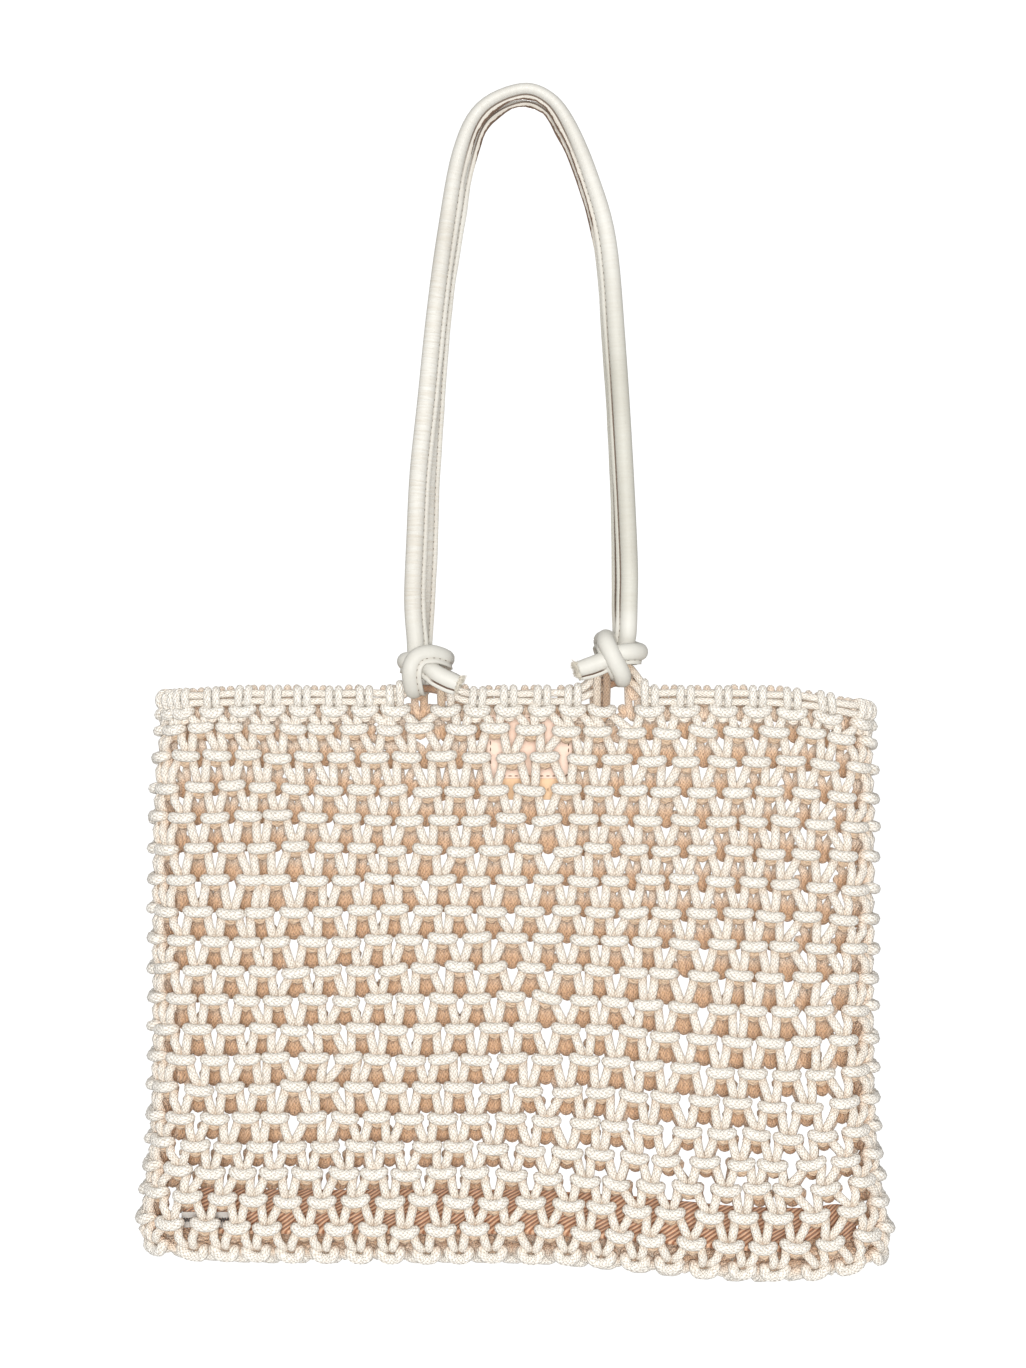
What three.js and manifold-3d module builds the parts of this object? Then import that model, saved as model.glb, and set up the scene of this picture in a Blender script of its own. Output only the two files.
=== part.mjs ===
// A knotted cotton net tote with two leather tube handles, in millimetres, +Z up, front facing -Y.
// The origin is the point it hangs from, under the top of both handles.
import * as THREE from 'three';
import { mergeVertices } from 'three/addons/utils/BufferGeometryUtils.js';
import Module from 'manifold-3d';

const wasm = await Module();
wasm.setup();

// Net
const rimWidth = 356;
const baseWidth = 384;
const rimDepth = 72;
const baseDepth = 98;
const netHeight = 278;
const netThickness = 6.5;
const rimCornerRadius = 20;
const baseCornerRadius = 26;
const edgeRadius = 14;
const baseSag = 10;

// Cords and handles
const cordDiameter = 4.8;
const tubeDiameter = 9;
const handleDrop = 295;
const handleSpread = 54;
const apexDepth = 26;
const leftKnotAcross = -46.5;
const leftKnotAboveRim = 8.5;
const rightKnotAcross = 47.5;
const rightKnotAboveRim = 15;

// Things inside the bag
const patchWidth = 44;
const patchHeight = 33;
const patchThickness = 1.6;
const tabWidth = 38;
const tabHeight = 40;
const tabThickness = 1.2;
const pouchDepth = 36;
const pouchThickness = 5;
const pouchRise = 15;
const zipLength = 22;
const zipHeight = 8;
const zipThickness = 1.2;
const zipOutward = 8;

const gap = 0.3;

const rimTop = -handleDrop;
const leftKnotDown = handleDrop - leftKnotAboveRim;
const rightKnotDown = handleDrop - rightKnotAboveRim;
const upperCordLevel = rimTop - cordDiameter / 2;
const lowerCordLevel = upperCordLevel - cordDiameter - gap;
const netTop = lowerCordLevel - cordDiameter / 2 - 1.5 * gap;
const netBottom = netTop - netHeight;
const edgePull = edgeRadius * (1 - Math.SQRT1_2);
const cordCentreInset = netThickness / 2;

// Lattice of half steps: a gap is two steps wide and two high, and rows are staggered by one step.
const frontSteps = 16;
const sideSteps = 4;
const wallRows = 5;
const ringSteps = 2 * (frontSteps + sideSteps);
const bottomLevel = 2 * wallRows;

// How the net hangs. down: share of the net's height. width, depth: share of the way from rim to base.
const profile = [
  { down: 0, width: 0, depth: 0 },
  { down: 0.15, width: 0.2, depth: 0.15 },
  { down: 0.5, width: 0.28, depth: 0.5 },
  { down: 0.82, width: 0.5, depth: 0.82 },
  { down: 1, width: 1, depth: 1 },
];

// Along the width, from the left corner to the right one. rim, base: levels as shares of baseSag.
const hang = [
  { across: -1, rim: -0.25, base: 0.35 },
  { across: -0.86, rim: 0, base: 0 },
  { across: 0.05, rim: 0, base: 0 },
  { across: 0.3, rim: 0, base: -0.35 },
  { across: 0.6, rim: 0, base: -0.9 },
  { across: 0.86, rim: -0.15, base: -1 },
  { across: 1, rim: -0.9, base: -0.1 },
];

// Middle line of a handle from the left leg to the right. across: share of handleSpread.
// height: share of handleDrop. backShift: how far the back handle stands to the right, in tube diameters.
// flat: how far the tube is pressed flat where it hangs.
const arch = [
  { across: -0.97, height: -0.924, backShift: 0.1, flat: 0 },
  { across: -0.995, height: -0.855, backShift: 0.4, flat: 0 },
  { across: -0.975, height: -0.748, backShift: 0.45, flat: 0 },
  { across: -0.945, height: -0.636, backShift: 0.4, flat: 0 },
  { across: -0.875, height: -0.512, backShift: 0.25, flat: 0 },
  { across: -0.795, height: -0.363, backShift: 0.15, flat: 0.1 },
  { across: -0.695, height: -0.223, backShift: 0.2, flat: 0.2 },
  { across: -0.565, height: -0.086, backShift: 0.25, flat: 0.5 },
  { across: -0.364, height: -0.01, backShift: 0.1, flat: 0.8 },
  { across: 0.009, height: 0.0227, backShift: 0, flat: 1 },
  { across: 0.278, height: 0.0073, backShift: 0, flat: 0.9 },
  { across: 0.472, height: -0.042, backShift: 0, flat: 0.6 },
  { across: 0.667, height: -0.1315, backShift: 0, flat: 0.3 },
  { across: 0.824, height: -0.24, backShift: 0, flat: 0.1 },
  { across: 0.907, height: -0.42, backShift: 0, flat: 0 },
  { across: 0.972, height: -0.615, backShift: 0, flat: 0 },
  { across: 1.014, height: -0.786, backShift: -0.1, flat: 0 },
  { across: 1.012, height: -0.859, backShift: -0.1, flat: 0 },
];

// Overhand knots from the leg to the cut tail, in tube diameters from the knot's middle.
// The bight goes under the upper rim cord, which runs through it.
const leftKnot = [
  { across: -0.63, inward: 0.1, up: 0.95 },
  { across: -0.52, inward: 0.53, up: 0.36 },
  { across: -0.51, inward: 0.94, up: -0.33 },
  { across: -0.62, inward: 0.76, up: -0.97 },
  { across: -0.74, inward: 0.11, up: -1.23 },
  { across: -0.83, inward: -0.64, up: -0.96 },
  { across: -0.9, inward: -1.1, up: -0.3 },
  { across: -0.78, inward: -1.17, up: 0.28 },
  { across: -0.4, inward: -1.06, up: 0.69 },
  { across: 0.28, inward: -0.78, up: 0.8 },
  { across: 0.89, inward: -0.13, up: 0.62 },
  { across: 0.84, inward: 0.58, up: 0.51 },
  { across: 0.22, inward: 1.2, up: 0.46 },
  { across: -0.56, inward: 1.3, up: 0.4 },
  { across: -1.13, inward: 0.73, up: 0.34 },
  { across: -1.16, inward: 0.17, up: 0.4 },
  { across: -0.72, inward: -0.26, up: 0.42 },
  { across: 0, inward: -0.6, up: 0.1 },
  { across: 0.56, inward: -0.76, up: -0.33 },
  { across: 1.11, inward: -0.8, up: -0.62 },
  { across: 1.72, inward: -0.8, up: -0.88 },
];
const rightKnot = [
  { across: 0.75, inward: 0.05, up: 1.5 },
  { across: 0.69, inward: 0.2, up: 0.9 },
  { across: 0.56, inward: 0.58, up: 0.26 },
  { across: 0.5, inward: 0.97, up: -0.46 },
  { across: 0.47, inward: 0.8, up: -1.06 },
  { across: 0.44, inward: 0.11, up: -1.32 },
  { across: 0.36, inward: -0.7, up: -1.0 },
  { across: 0.06, inward: -1.11, up: -0.44 },
  { across: -0.22, inward: -1.18, up: 0.11 },
  { across: -0.49, inward: -0.91, up: 0.67 },
  { across: -0.51, inward: -0.11, up: 0.95 },
  { across: -0.11, inward: 0.69, up: 0.76 },
  { across: 0.56, inward: 1.13, up: 0.51 },
  { across: 1.11, inward: 0.67, up: 0.29 },
  { across: 1.37, inward: -0.09, up: 0.18 },
  { across: 0.89, inward: -0.67, up: 0.18 },
  { across: 0.22, inward: -0.79, up: 0.09 },
  { across: -0.44, inward: -0.77, up: -0.2 },
  { across: -1.11, inward: -0.77, up: -0.49 },
  { across: -2.05, inward: -0.74, up: -0.8 },
];

// Where the rim cord runs through each knot. below: under the knot's middle, in tube diameters.
// bight: where the knot hangs lowest, in tube diameters. dip: how far the rim makes room for it,
// in tube diameters too.
const eyes = [
  { across: leftKnotAcross, level: -leftKnotDown, below: 0.39, bight: -0.74, dip: 0.55 },
  { across: rightKnotAcross, level: -rightKnotDown, below: 0.48, bight: 0.44, dip: 0 },
];
const eyeHalfSpan = 24;
const dipHalfSpan = 32;

function readTable(table, key, position, column) {
  const last = table.length - 1;
  if (position <= table[0][key]) return table[0][column];
  if (position >= table[last][key]) return table[last][column];
  const above = table.findIndex((row) => row[key] >= position);
  const [low, high] = [table[above - 1], table[above]];
  const share = (position - low[key]) / (high[key] - low[key]);
  return low[column] + share * (high[column] - low[column]);
}

// A point of a rounded rectangle. step counts round it from the middle of the front left corner.
function roundedPoint(halfWidth, halfDepth, radius, step) {
  const arc = (Math.PI / 4) * radius;
  const turn = ((step % ringSteps) + ringSteps) % ringSteps;
  const sides = [
    { start: 0, steps: frontSteps, half: halfWidth, reach: halfDepth, angle: 0 },
    { start: frontSteps, steps: sideSteps, half: halfDepth, reach: halfWidth, angle: Math.PI / 2 },
    { start: frontSteps + sideSteps, steps: frontSteps, half: halfWidth, reach: halfDepth, angle: Math.PI },
    {
      start: 2 * frontSteps + sideSteps,
      steps: sideSteps,
      half: halfDepth,
      reach: halfWidth,
      angle: -Math.PI / 2,
    },
  ];
  const side = sides.find((one) => turn >= one.start && turn <= one.start + one.steps);
  const straight = side.half - radius;
  const along = ((turn - side.start) / side.steps - 0.5) * 2 * (straight + arc);
  const overrun = Math.max(0, Math.abs(along) - straight) / radius;
  const x = Math.sign(along) * (Math.min(Math.abs(along), straight) + radius * Math.sin(overrun));
  const y = -(side.reach - radius + radius * Math.cos(overrun));
  const [cos, sin] = [Math.cos(side.angle), Math.sin(side.angle)];
  return [x * cos - y * sin, x * sin + y * cos];
}

// The net's wall at a lattice step and a share of its height, moved in by inset.
function wallPoint(step, down, inset, edge = 0) {
  const width = readTable(profile, 'down', down, 'width');
  const depth = readTable(profile, 'down', down, 'depth');
  const moved = inset + edge;
  const halfWidth = (rimWidth + width * (baseWidth - rimWidth)) / 2 - moved;
  const halfDepth = (rimDepth + depth * (baseDepth - rimDepth)) / 2 - moved;
  const radius = Math.max(rimCornerRadius + depth * (baseCornerRadius - rimCornerRadius) - moved, 2);
  const [x, y] = roundedPoint(halfWidth, halfDepth, radius, step);
  const across = x / halfWidth;
  const top = netTop + baseSag * readTable(hang, 'across', across, 'rim') - rimDip(x);
  const bottom = netBottom + baseSag * readTable(hang, 'across', across, 'base');
  return [x, y, top + (bottom - top) * down];
}

// The lower rim cord and the net's edge dip under a knot that hangs below the rim.
function rimDip(x) {
  return eyes.reduce((sum, eye) => {
    const share = bump((x - lowestAcross(eye)) / dipHalfSpan);
    return sum + eye.dip * tubeDiameter * share;
  }, 0);
}

function lowestAcross(eye) {
  return eye.across + eye.bight * tubeDiameter;
}

function bump(share) {
  return Math.abs(share) < 1 ? Math.cos((share * Math.PI) / 2) ** 2 : 0;
}

function wallLattice(step, level, inset) {
  if (level < bottomLevel) return wallPoint(step, level / bottomLevel, inset);
  const [x, y, z] = wallPoint(step, 1, inset * Math.SQRT1_2, edgePull);
  return [x, y, z + edgePull + inset * Math.SQRT1_2];
}

function baseLattice(step, row, inset) {
  if (row === 0) return wallLattice(step, bottomLevel, inset);
  if (row === sideSteps) return wallLattice(2 * frontSteps + sideSteps - step, bottomLevel, inset);
  if (step === 0) return wallLattice(ringSteps - row, bottomLevel, inset);
  if (step === frontSteps) return wallLattice(frontSteps + row, bottomLevel, inset);
  const front = wallLattice(step, bottomLevel, 0);
  const back = wallLattice(2 * frontSteps + sideSteps - step, bottomLevel, 0);
  const share = row / sideSteps;
  return [front[0], front[1] + share * (back[1] - front[1]), front[2] - edgePull + inset];
}

function geometryOf(triangles) {
  const geometry = new THREE.BufferGeometry();
  geometry.setAttribute('position', new THREE.Float32BufferAttribute(triangles.flat(2), 3));
  geometry.computeVertexNormals();
  return geometry;
}

function quad(into, a, b, c, d) {
  into.push([a, b, c], [a, c, d]);
}

// Points round a gap, in half steps.
const wallRing = [
  [0, 0],
  [0, 2],
  [1, 2],
  [2, 2],
  [2, 0],
  [1, 0],
];
const baseRing = [
  [0, 0],
  [0, 1],
  [0, 2],
  [1, 2],
  [2, 2],
  [2, 1],
  [2, 0],
  [1, 0],
];

// One mesh of the net: a skin outside, one inside, and the sides of a gap through them.
function addCell(into, lattice, left, top, steps, rows, ring) {
  if (!ring) {
    for (let row = 0; row < rows; row += 1) {
      const corners = [
        [left, top + row],
        [left, top + row + 1],
        [left + steps, top + row + 1],
        [left + steps, top + row],
      ];
      const outer = corners.map(([step, level]) => lattice(step, level, 0));
      const inner = corners.map(([step, level]) => lattice(step, level, netThickness));
      quad(into, ...outer);
      quad(into, inner[3], inner[2], inner[1], inner[0]);
    }
    return;
  }
  const gapShare = { corner: 0.55, side: 0.64, end: 0.8 };
  const skins = [0, netThickness].map((inset) => {
    const edge = ring.map(([step, level]) => lattice(left + step, top + level, inset));
    const middle = lattice(left + 1, top + 1, inset);
    const hole = edge.map((point, index) => {
      const [step, level] = ring[index];
      const share = step !== 1 && level !== 1 ? gapShare.corner : step === 1 ? gapShare.end : gapShare.side;
      return point.map((value, axis) => middle[axis] + share * (value - middle[axis]));
    });
    return { edge, hole };
  });
  const [outer, inner] = skins;
  ring.forEach((_, index) => {
    const next = (index + 1) % ring.length;
    quad(into, outer.edge[index], outer.edge[next], outer.hole[next], outer.hole[index]);
    quad(into, inner.edge[next], inner.edge[index], inner.hole[index], inner.hole[next]);
    quad(into, outer.hole[index], outer.hole[next], inner.hole[next], inner.hole[index]);
  });
}

function netGeometry() {
  const triangles = [];
  for (let row = 0; row < wallRows; row += 1) {
    for (let cell = 0; cell < ringSteps / 2; cell += 1) {
      addCell(triangles, wallLattice, 2 * cell + (row % 2), 2 * row, 2, 2, wallRing);
    }
  }
  for (let cell = 0; cell < frontSteps / 2; cell += 1) {
    addCell(triangles, baseLattice, 2 * cell, 0, 2, 2, baseRing);
  }
  addCell(triangles, baseLattice, 0, 2, 1, 2, null);
  for (let cell = 0; cell < frontSteps / 2 - 1; cell += 1) {
    addCell(triangles, baseLattice, 2 * cell + 1, 2, 2, 2, baseRing);
  }
  addCell(triangles, baseLattice, frontSteps - 1, 2, 1, 2, null);
  for (let step = 0; step < ringSteps; step += 1) {
    const corners = [step, step + 1].map((at) => [wallLattice(at, 0, 0), wallLattice(at, 0, netThickness)]);
    quad(triangles, corners[0][0], corners[1][0], corners[1][1], corners[0][1]);
  }
  return geometryOf(triangles);
}

// A tube along points. section(index) gives its two half sizes, along the carried normal and across it.
function sweep(points, sides, section, closed, upright) {
  const centres = points.map((point) => new THREE.Vector3(...point));
  const count = centres.length;
  const tangents = centres.map((_, index) => {
    const before = centres[closed ? (index + count - 1) % count : Math.max(index - 1, 0)];
    const after = centres[closed ? (index + 1) % count : Math.min(index + 1, count - 1)];
    return after.clone().sub(before).normalize();
  });
  let normal = upright.clone();
  const rings = centres.map((centre, index) => {
    const tangent = tangents[index];
    if (closed) normal = upright.clone();
    normal = normal.clone().addScaledVector(tangent, -normal.dot(tangent)).normalize();
    const across = tangent.clone().cross(normal);
    const [along, wide] = section(index);
    return Array.from({ length: sides }, (_, side) => {
      const angle = (2 * Math.PI * (side + 0.5)) / sides;
      return centre
        .clone()
        .addScaledVector(normal, along * Math.cos(angle))
        .addScaledVector(across, wide * Math.sin(angle))
        .toArray();
    });
  });
  const triangles = [];
  const last = closed ? count : count - 1;
  for (let index = 0; index < last; index += 1) {
    const [here, next] = [rings[index], rings[(index + 1) % count]];
    for (let side = 0; side < sides; side += 1) {
      const other = (side + 1) % sides;
      quad(triangles, here[side], here[other], next[other], next[side]);
    }
  }
  if (!closed) {
    for (let side = 1; side < sides - 1; side += 1) {
      triangles.push([rings[0][0], rings[0][side + 1], rings[0][side]]);
      triangles.push([rings[count - 1][0], rings[count - 1][side], rings[count - 1][side + 1]]);
    }
  }
  return geometryOf(triangles);
}

// A rim cord on the middle of the wall's thickness, at a level that may change round it.
function rimCordGeometry(levelAt, eyeParts) {
  const steps = [];
  for (let step = 0; step < ringSteps; step += 1) {
    const [x] = wallPoint(step, 0, cordCentreInset);
    const [nextX] = wallPoint(step + 1, 0, cordCentreInset);
    const middle = (x + nextX) / 2;
    const nearEye = eyes.some((eye) => Math.abs(middle - lowestAcross(eye)) < eyeHalfSpan + 4);
    const parts = nearEye ? eyeParts : 1;
    for (let part = 0; part < parts; part += 1) steps.push(step + part / parts);
  }
  const points = steps.map((step) => {
    const [low, high] = [Math.floor(step), Math.ceil(step)].map((at) => wallPoint(at, 0, cordCentreInset));
    const [x, y] = wallPoint(step, 0, cordCentreInset);
    const share = step - Math.floor(step);
    const edge = low[2] + share * (high[2] - low[2]);
    const dip = rimDip(low[0]) + share * (rimDip(high[0]) - rimDip(low[0]));
    return [x, y, levelAt(x, edge - netTop, dip)];
  });
  const radius = cordDiameter / 2;
  return sweep(points, 6, () => [radius, radius], true, new THREE.Vector3(0, 0, 1));
}

function upperCordLevelAt(x, hangAt, dip) {
  const rise = eyes.reduce((sum, eye) => {
    const eyeLevel = eye.level - eye.below * tubeDiameter;
    return sum + (eyeLevel - upperCordLevel) * bump((x - lowestAcross(eye)) / eyeHalfSpan);
  }, 0);
  return upperCordLevel + rise + hangAt + dip;
}

// The rows of one whole handle from its left tail to its right one.
function handleRows(isBack) {
  const sideSign = isBack ? 1 : -1;
  const wallMiddle = rimDepth / 2 - cordCentreInset;
  const eyeInward = 0.11 * tubeDiameter;
  const knotDepth = wallMiddle + eyeInward;
  const apexRow = arch.reduce((best, row) => (row.height > best.height ? row : best));
  const knotPoint = (row, across, down) =>
    new THREE.Vector3(
      across + row.across * tubeDiameter,
      sideSign * (knotDepth - row.inward * tubeDiameter),
      -down + row.up * tubeDiameter,
    );
  const archPoint = (row) => {
    const x = row.across * handleSpread + (isBack ? row.backShift * tubeDiameter : 0);
    const share = (row.height - arch[0].height) / (apexRow.height - arch[0].height);
    const depth = knotDepth + Math.max(share, 0) * (apexDepth / 2 - knotDepth);
    return new THREE.Vector3(x, sideSign * depth, row.height * handleDrop);
  };
  const knotRows = (table, across, down) =>
    table.map((row) => ({ point: knotPoint(row, across, down), flat: 0 }));
  const left = knotRows(leftKnot, leftKnotAcross, leftKnotDown).reverse();
  const middle = arch.map((row) => ({ point: archPoint(row), flat: row.flat }));
  const right = knotRows(rightKnot, rightKnotAcross, rightKnotDown);
  return { left, middle, all: [...left, ...middle, ...right] };
}

function asManifold(geometry) {
  const plain = geometry.clone();
  plain.deleteAttribute('normal');
  plain.deleteAttribute('uv');
  const merged = mergeVertices(plain, 1e-4);
  return new wasm.Manifold(
    new wasm.Mesh({
      numProp: 3,
      vertProperties: merged.attributes.position.array,
      triVerts: new Uint32Array(merged.index.array),
    }),
  );
}

function asGeometry(solid) {
  const made = solid.getMesh();
  const geometry = new THREE.BufferGeometry();
  geometry.setAttribute('position', new THREE.BufferAttribute(made.vertProperties, 3));
  geometry.setIndex(new THREE.BufferAttribute(made.triVerts, 1));
  const split = geometry.toNonIndexed();
  split.computeVertexNormals();
  return split;
}

// The tube is swept in stretches that don't cross themselves, and the stretches are joined.
// A knot and the top of the arch take two rings for each row of their tables, and the legs take one.
function handleGeometry(isBack) {
  const { left, middle, all } = handleRows(isBack);
  const curve = new THREE.CatmullRomCurve3(
    all.map((row) => row.point),
    false,
    'centripetal',
  );
  const archStart = left.length;
  const archEnd = left.length + middle.length - 1;
  const stations = [];
  all.forEach((row, index) => {
    stations.push({ at: index, flat: row.flat });
    const inKnot = index < archStart || (index >= archEnd && index < all.length - 1);
    const next = all[Math.min(index + 1, all.length - 1)];
    const between = (row.flat + next.flat) / 2;
    if (inKnot || between > 0.2) stations.push({ at: index + 0.5, flat: between });
  });
  const radius = tubeDiameter / 2;
  const stops = [0, 6, 15, archStart, archEnd, archEnd + 6, archEnd + 15, all.length - 1];
  const pieces = [];
  for (let stop = 0; stop < stops.length - 1; stop += 1) {
    const overlap = stop ? 0.5 : 0;
    const kept = stations.filter(({ at }) => at >= stops[stop] - overlap && at <= stops[stop + 1]);
    const stretch = kept.map(({ at }) => curve.getPoint(at / (all.length - 1)).toArray());
    const section = (index) => {
      const { flat } = kept[index];
      return [radius * (1 + 0.2 * flat), radius * (1 - 0.33 * flat)];
    };
    pieces.push(asManifold(sweep(stretch, 7, section, false, new THREE.Vector3(0, 1, 0))));
  }
  return asGeometry(pieces.reduce((sum, piece) => sum.add(piece)));
}

function rimInnerDepth(z) {
  const down = (netTop - z) / netHeight;
  const depth = readTable(profile, 'down', down, 'depth');
  return (rimDepth + depth * (baseDepth - rimDepth)) / 2 - netThickness;
}

// A flat piece that hangs against the inside of the back wall. front and back are distances from the wall.
function hangingPiece(left, right, top, bottom, front, back) {
  const corner = (x, z, off) => [x, rimInnerDepth(z) - off, z];
  const ring = (off) => [
    corner(left, bottom, off),
    corner(right, bottom, off),
    corner(right, top, off),
    corner(left, top, off),
  ];
  const [near, far] = [ring(front), ring(back)];
  const triangles = [];
  quad(triangles, ...near);
  quad(triangles, far[3], far[2], far[1], far[0]);
  near.forEach((_, index) => {
    const next = (index + 1) % near.length;
    quad(triangles, near[next], near[index], far[index], far[next]);
  });
  return geometryOf(triangles);
}

// Cross-section of the pouch. along: share of its depth from front to back. up: share of its thickness.
const pouchSection = [
  { along: 0, up: 0.35 },
  { along: 0.05, up: 0 },
  { along: 0.95, up: 0 },
  { along: 1, up: 0.4 },
  { along: 0.96, up: 0.8 },
  { along: 0.5, up: 1 },
  { along: 0.06, up: 0.8 },
];
const pouchEndStep = 0.4;
const pouchEndLift = 4;
const pouchEndTaper = 10;
const pouchBackGap = 1.6;

function pouchFrame(step) {
  const floor = baseLattice(step, 2, netThickness);
  const wall = baseLattice(step, sideSteps - 1, netThickness);
  const atEnd = step < 1 || step > frontSteps - 1;
  const backY = rimInnerDepth(netBottom + pouchRise + pouchThickness) - pouchBackGap;
  return {
    x: wall[0],
    backY,
    depth: pouchDepth - (atEnd ? pouchEndTaper : 0),
    floor: floor[2] - gap + (atEnd ? pouchEndLift : 0),
  };
}

function pouchPoint(step, along, up) {
  const { x, backY, depth, floor } = pouchFrame(step);
  const slope = Math.asin(pouchRise / pouchDepth);
  const run = along * depth;
  const lift = up * pouchThickness;
  const frontY = backY - pouchDepth * Math.cos(slope);
  const [cos, sin] = [Math.cos(slope), Math.sin(slope)];
  return [x, frontY + run * cos - lift * sin, floor + run * sin + lift * cos];
}

function pouchGeometry() {
  const triangles = [];
  const rings = [];
  const steps = Array.from({ length: frontSteps - 1 }, (_, index) => index + 1);
  [pouchEndStep, ...steps, frontSteps - pouchEndStep].forEach((step) => {
    rings.push(pouchSection.map((row) => pouchPoint(step, row.along, row.up)));
  });
  const sides = pouchSection.length;
  for (let ring = 0; ring < rings.length - 1; ring += 1) {
    for (let side = 0; side < sides; side += 1) {
      const other = (side + 1) % sides;
      quad(triangles, rings[ring][side], rings[ring][other], rings[ring + 1][other], rings[ring + 1][side]);
    }
  }
  for (let side = 1; side < sides - 1; side += 1) {
    triangles.push([rings[0][0], rings[0][side + 1], rings[0][side]]);
    const end = rings[rings.length - 1];
    triangles.push([end[0], end[side], end[side + 1]]);
  }
  return geometryOf(triangles);
}

// A bit of zip tape that stands at the front edge of the pouch, at its left end.
function zipGeometry() {
  const first = pouchPoint(1, 0, 0.35);
  const second = pouchPoint(2, 0, 0.35);
  const slope = (second[2] - first[2]) / (second[0] - first[0]);
  const box = new THREE.BoxGeometry(zipLength, zipThickness, zipHeight);
  box.applyMatrix4(new THREE.Matrix4().makeShear(0, 0, 0, slope, 0, 0));
  box.translate(
    first[0] - zipOutward + zipLength / 2,
    first[1] - zipThickness / 2 - gap,
    first[2] + slope * (zipLength / 2) + zipHeight / 2 + 5 * gap,
  );
  return box;
}

const finishes = {
  cotton: new THREE.MeshStandardMaterial({ color: 0xefe8db, roughness: 0.92, metalness: 0 }),
  leather: new THREE.MeshStandardMaterial({ color: 0xe6e1d5, roughness: 0.55, metalness: 0 }),
  peach: new THREE.MeshStandardMaterial({ color: 0xe9cfb8, roughness: 0.6, metalness: 0 }),
  tan: new THREE.MeshStandardMaterial({ color: 0xcfa878, roughness: 0.6, metalness: 0 }),
  twill: new THREE.MeshStandardMaterial({ color: 0xcfa98d, roughness: 0.9, metalness: 0 }),
  zip: new THREE.MeshStandardMaterial({ color: 0x8f8c88, roughness: 0.7, metalness: 0 }),
};

const group = new THREE.Group();

function addPiece(name, geometry, finish) {
  const mesh = new THREE.Mesh(geometry, finishes[finish].clone());
  mesh.name = name;
  group.add(mesh);
}

const tabLeft = -11;
const patchLeft = -17;
const patchTop = netTop - 5;
const tabTop = patchTop - 4;

addPiece('net_body', netGeometry(), 'cotton');
addPiece('rim_cord_upper', rimCordGeometry(upperCordLevelAt, 4), 'cotton');
addPiece('rim_cord_lower', rimCordGeometry((x, hangAt) => lowerCordLevel + hangAt, 1), 'cotton');
addPiece('handle_front', handleGeometry(false), 'leather');
addPiece('handle_back', handleGeometry(true), 'leather');
addPiece(
  'inner_tab',
  hangingPiece(tabLeft, tabLeft + tabWidth, tabTop, tabTop - tabHeight, gap + tabThickness, gap),
  'tan',
);
const patchRight = patchLeft + patchWidth;
const patchBottom = patchTop - patchHeight;
const patchBack = 2 * gap + tabThickness;
const patchFront = patchBack + patchThickness;
addPiece(
  'inner_patch',
  hangingPiece(patchLeft, patchRight, patchTop, patchBottom, patchFront, patchBack),
  'peach',
);
addPiece('twill_pouch', pouchGeometry(), 'twill');
addPiece('pouch_zip', zipGeometry(), 'zip');

export default group;
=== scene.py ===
import math
import bpy
import bmesh
import numpy as np
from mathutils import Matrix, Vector


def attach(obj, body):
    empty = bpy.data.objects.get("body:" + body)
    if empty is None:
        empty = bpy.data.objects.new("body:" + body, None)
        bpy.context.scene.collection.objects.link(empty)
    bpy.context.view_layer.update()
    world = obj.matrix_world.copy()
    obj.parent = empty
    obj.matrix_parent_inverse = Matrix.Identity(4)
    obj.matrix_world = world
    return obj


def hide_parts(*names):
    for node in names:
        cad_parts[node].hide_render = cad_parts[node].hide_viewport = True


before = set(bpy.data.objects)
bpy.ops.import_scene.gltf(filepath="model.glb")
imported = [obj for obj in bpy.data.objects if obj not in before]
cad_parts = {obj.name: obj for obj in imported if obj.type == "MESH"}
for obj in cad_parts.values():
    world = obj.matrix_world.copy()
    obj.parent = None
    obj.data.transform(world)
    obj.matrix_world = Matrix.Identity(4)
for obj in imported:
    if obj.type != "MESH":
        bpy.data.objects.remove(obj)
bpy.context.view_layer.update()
mm = 0.001
print("stage: frame loaded")

# Sizes shared by all pieces, in millimetres, as in the solids.
bag = {
    "rimWidth": 356.0,
    "baseWidth": 384.0,
    "rimDepth": 72.0,
    "baseDepth": 98.0,
    "rimCorner": 20.0,
    "baseCorner": 26.0,
    "netTop": -305.4,
    "netBottom": -583.4,
    "sag": 10.0,
    "midInset": 3.25,
    "edgeRadius": 10.75,
    "tube": 9.0,
    "handleDrop": 295.0,
    "handleSpread": 54.0,
    "apexDepth": 26.0,
    "wallInside": 6.5,  # from the outline to the free inside
}
bag["height"] = bag["netTop"] - bag["netBottom"] - bag["midInset"]

# Shares of the way from rim to base, down the net.
profileDown = [0, 0.15, 0.5, 0.82, 1]
profileWidth = [0, 0.2, 0.28, 0.5, 1]
profileDepth = [0, 0.15, 0.5, 0.82, 1]
# How far the net hangs to the side, and how much wider it is, down its height. Millimetres.
leanDown = [0, 0.15, 0.4, 0.7, 1]
leanAside = [-1.8, -2.8, -3.4, -3.4, -2.4]
fullerSide = [2.2, 2.2, 1.6, -0.8, -0.4]
# Levels along the width, as shares of the sag.
hangAcross = [-1, -0.86, 0.05, 0.3, 0.6, 0.86, 1]
hangRim = [-0.25, 0, 0, 0, 0, -0.15, -0.9]
hangBase = [0.35, 0, 0, -0.35, -0.9, -1, -0.1]


def smoothTable(xs, ys, x):  # reads a table with its corners rounded off
    spread = 0.05 * (xs[-1] - xs[0])
    return sum(np.interp(x + k * spread, xs, ys) for k in (-1, -0.5, 0, 0.5, 1)) / 5


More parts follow.
